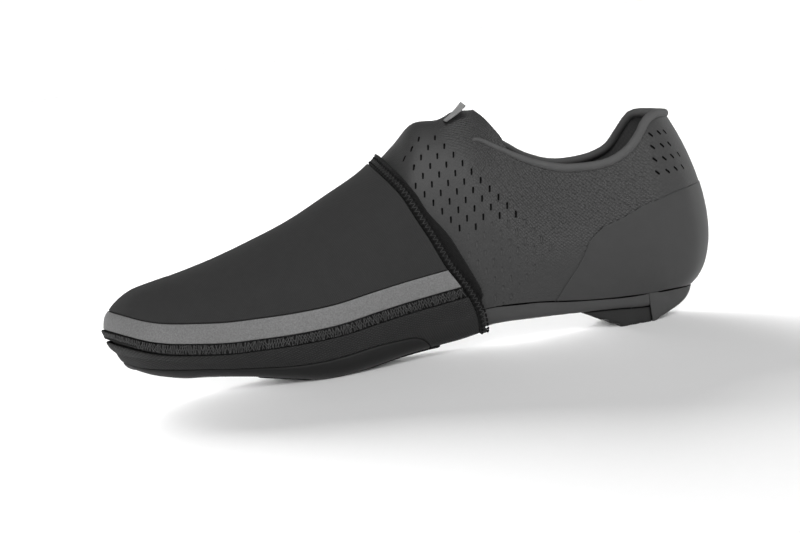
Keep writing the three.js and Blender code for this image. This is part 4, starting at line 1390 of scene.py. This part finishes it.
def makeTab():
    centre = Vector(tab["centre"])
    first, last = (math.radians(v) for v in tab["twist"])
    bpy.ops.mesh.primitive_grid_add(x_subdivisions=12, y_subdivisions=6, size=1)
    piece = bpy.context.object
    piece.name = "tongueTab"
    turned = Matrix.Rotation(-math.radians(tab["angle"]), 4, "Y")
    for v in piece.data.vertices:
        point = Vector((v.co.x * tab["length"], v.co.y * tab["width"], 0)) / 1000
        point.z += tab["bend"] / 1000 * (4 * v.co.x**2 - 1) / 2
        twist = Matrix.Rotation(first + (last - first) * (v.co.x + 0.5), 4, "X")
        v.co = centre + (turned @ twist @ point)
    piece.data.materials.append(wovenTape)
    addWall(piece, tab["thickness"], 0)
    roundEdges(piece, tab["edge"], 2)
    bakeModifiers(piece)
    smoothShade(piece)
    finishPiece(piece, "woven_tape", "tongue_tab")


makeUpper()
makeCounter()
makePiping()
makeTongue()
makeTab()
print("upper made")


# Sole pieces: the band and underside from a sheet, closed above
def soleBlock(name, bottom, inset, fields, wall, material, rim, step, grooves=()):
    sheet = gridSheet(step, underRows, 0.0, bottom, inset)
    sheet = trimSheet(sheet, fields, 0.0, rim)
    height = -rimDrop(sheet, fields, 0.0, rim)
    points = sheetPoints(sheet, 0.0)
    for along in grooves:
        far = np.abs(points[:, 0] - xAt(along))
        groove = sole["groove"] * (1 - ease(*sole["grooveRun"], far))
        height = height - groove * (sheet["t"] < sole["grooveFrom"])
    return panel(name, sheet, height, wall, [material])


sole = {
    "plate": 3.0, "rim": 0.3, "step": 1.6, "seam": 0.1, "treadInset": 1.5, "treadWall": 2.0,
    "treadRim": 0.6, "treadStep": 1.0, "treadGrooves": (0.153, 0.168, 0.190, 0.208),
    "groove": 1.0, "grooveRun": (0.6, 1.6), "grooveFrom": -0.3,
}


def underEdge(points):
    return edgeHeight(points[:, 0]) - sole["seam"] - points[:, 2]


def makeOutsole():
    fields = [lambda points: xAt(shoe["bumperFront"]) - sole["seam"] / 2 - points[:, 0],
              underEdge]
    piece = soleBlock("outsolePlate", soleHeight, 0.0, fields, sole["plate"], soleShell,
                      sole["rim"], sole["step"])
    finishPiece(piece, "sole_shell", "outsole")


def makeBumper():
    fields = [lambda points: points[:, 0] - xAt(shoe["bumperFront"]) - sole["seam"] / 2,
              underEdge]
    piece = soleBlock("heelBumper", heelHeight, 0.0, fields, sole["plate"], heelRubber,
                      sole["rim"], sole["step"])
    finishPiece(piece, "heel_rubber", "heel_bumper")


def makeTread():
    rear = xAt(shoe["bumperFront"]) - gap / 2
    fields = [lambda points: rear - points[:, 0],
              lambda points: points[:, 0] - xAt(shoe["treadFront"]),
              lambda points: soleHeight(points[:, 0]) - gap - points[:, 2]]
    piece = soleBlock("heelTread", heelHeight, sole["treadInset"], fields, sole["treadWall"],
                      treadRubber, sole["treadRim"], sole["treadStep"], sole["treadGrooves"])
    finishPiece(piece, "tread_rubber", "heel_tread")


insole = {
    "step": 1.8, "points": 26, "edge": 0.02, "rise": 1.8, "cup": 1.2, "cupPower": 6, "wall": 1.6,
}


def makeInsole():
    us = stations(insole["step"])
    half = us[us <= 0.5]
    across = np.linspace(0, 1, insole["points"])
    edge = np.full(len(half), insole["edge"])
    outer, inner = (seamPoint(u, edge) - surfaceNormal(u, edge) * (shoe["wall"] + gap)
                    for u in (half, 1 - half))
    rows = outer[:, None] * (1 - across[None, :, None]) + inner[:, None] * across[None, :, None]
    cup = insole["cup"] * (2 * across - 1)**insole["cupPower"]
    rows[..., 2] = edgeHeight(rows[..., 0]) + insole["rise"] + cup
    faces = gridFaces(len(half), len(across))
    piece = newPiece("insoleBoard", toModel(rows.reshape(-1, 3)), faces)
    piece.data.materials.append(liningKnit)
    addWall(piece, insole["wall"])
    bakeModifiers(piece)
    facesOut(piece)
    smoothShade(piece)
    finishPiece(piece, "lining", "insole")


makeOutsole()
makeBumper()
makeTread()
makeInsole()
print("sole made")

# Floor, light and camera
studio = {
    "azimuth": 5.0, "elevation": 4.0, "roll": -9.35, "distance": 1.6, "scale": 2131.0,
    "target": (-0.00213, 0.0, 0.04275), "imageWidth": 800,
    "suns": ((-83, 0, 6, 11.3), (76, 0, -4, 5.3)), "sunAngle": 20, "horizon": 1.02,
    "overhead": 0.05, "fade": (0.18, 0.6), "fill": 24, "fillPlace": (0.15, -1.2, 1.7), "fillSize": 1.3,
    "floor": 60,
}


def makeCamera():
    a, e, r = (math.radians(studio[k]) for k in ("azimuth", "elevation", "roll"))
    back = Vector((-math.sin(a) * math.cos(e), -math.cos(a) * math.cos(e), math.sin(e)))
    right = (-back).cross(Vector((0, 0, 1))).normalized()
    over = right.cross(-back)
    turnedRight = right * math.cos(r) + over * math.sin(r)
    turnedUp = over * math.cos(r) - right * math.sin(r)
    data = bpy.data.cameras.new("camera")
    data.sensor_width = 36
    data.lens = studio["scale"] * studio["distance"] / studio["imageWidth"] * data.sensor_width
    camera = bpy.data.objects.new("camera", data)
    camera.matrix_world = Matrix.Translation(
        Vector(studio["target"]) + back * studio["distance"]) @ Matrix(
        (turnedRight, turnedUp, back)).transposed().to_4x4()
    bpy.context.scene.collection.objects.link(camera)
    bpy.context.scene.camera = camera


# Two low suns reach only the floor, so that the shoe's shadow falls to both sides of it
def makeSuns():
    lit = bpy.data.collections.new("litFloor")
    lit.objects.link(bpy.data.objects["floor"])
    for *turn, energy in studio["suns"]:
        data = bpy.data.lights.new("lowSun", "SUN")
        data.energy = energy
        data.angle = math.radians(studio["sunAngle"])
        light = bpy.data.objects.new("lowSun", data)
        light.rotation_euler = [math.radians(v) for v in turn]
        bpy.context.scene.collection.objects.link(light)
        light.light_linking.receiver_collection = lit


# A large softbox above the near side, for the shoe alone
def makeFill():
    data = bpy.data.lights.new("softbox", "AREA")
    data.shape = "DISK"
    data.size = studio["fillSize"]
    data.energy = studio["fill"]
    light = bpy.data.objects.new("softbox", data)
    light.location = studio["fillPlace"]
    light.rotation_mode = "QUATERNION"
    aim = Vector(studio["target"]) - light.location
    light.rotation_quaternion = aim.to_track_quat("-Z", "Y")
    bpy.context.scene.collection.objects.link(light)
    lit = bpy.data.collections.new("litShoe")
    for piece in bpy.context.scene.objects:
        if piece.type == "MESH" and piece.name != "floor" and not piece.hide_render:
            lit.objects.link(piece)
    light.light_linking.receiver_collection = lit


# A white studio: brightest near the horizon, softer overhead
def makeWorld():
    world = bpy.data.worlds.new("studio")
    bpy.context.scene.world = world
    world.use_nodes = True
    tree = world.node_tree
    place = addNode(tree, "ShaderNodeTexCoord", {}, {})
    parts = addNode(tree, "ShaderNodeSeparateXYZ", {}, {0: place.outputs["Generated"]})
    low, high = studio["fade"]
    level = addNode(tree, "ShaderNodeMapRange", {"interpolation_type": "SMOOTHSTEP"}, {
        "Value": parts.outputs[2], "From Min": low, "From Max": high,
        "To Min": studio["horizon"], "To Max": studio["overhead"]})
    tree.links.new(level.outputs[0], tree.nodes["Background"].inputs["Strength"])
    tree.nodes["Background"].inputs["Color"].default_value = (1, 1, 1, 1)


def makeFloor():
    bpy.ops.mesh.primitive_plane_add(size=studio["floor"])
    floor = bpy.context.object
    floor.name = "floor"
    floor.data.materials.append(floorWhite)


makeCamera()
makeFloor()
makeSuns()
makeFill()
makeWorld()
bpy.context.scene.view_settings.view_transform = "Standard"
print("studio made")
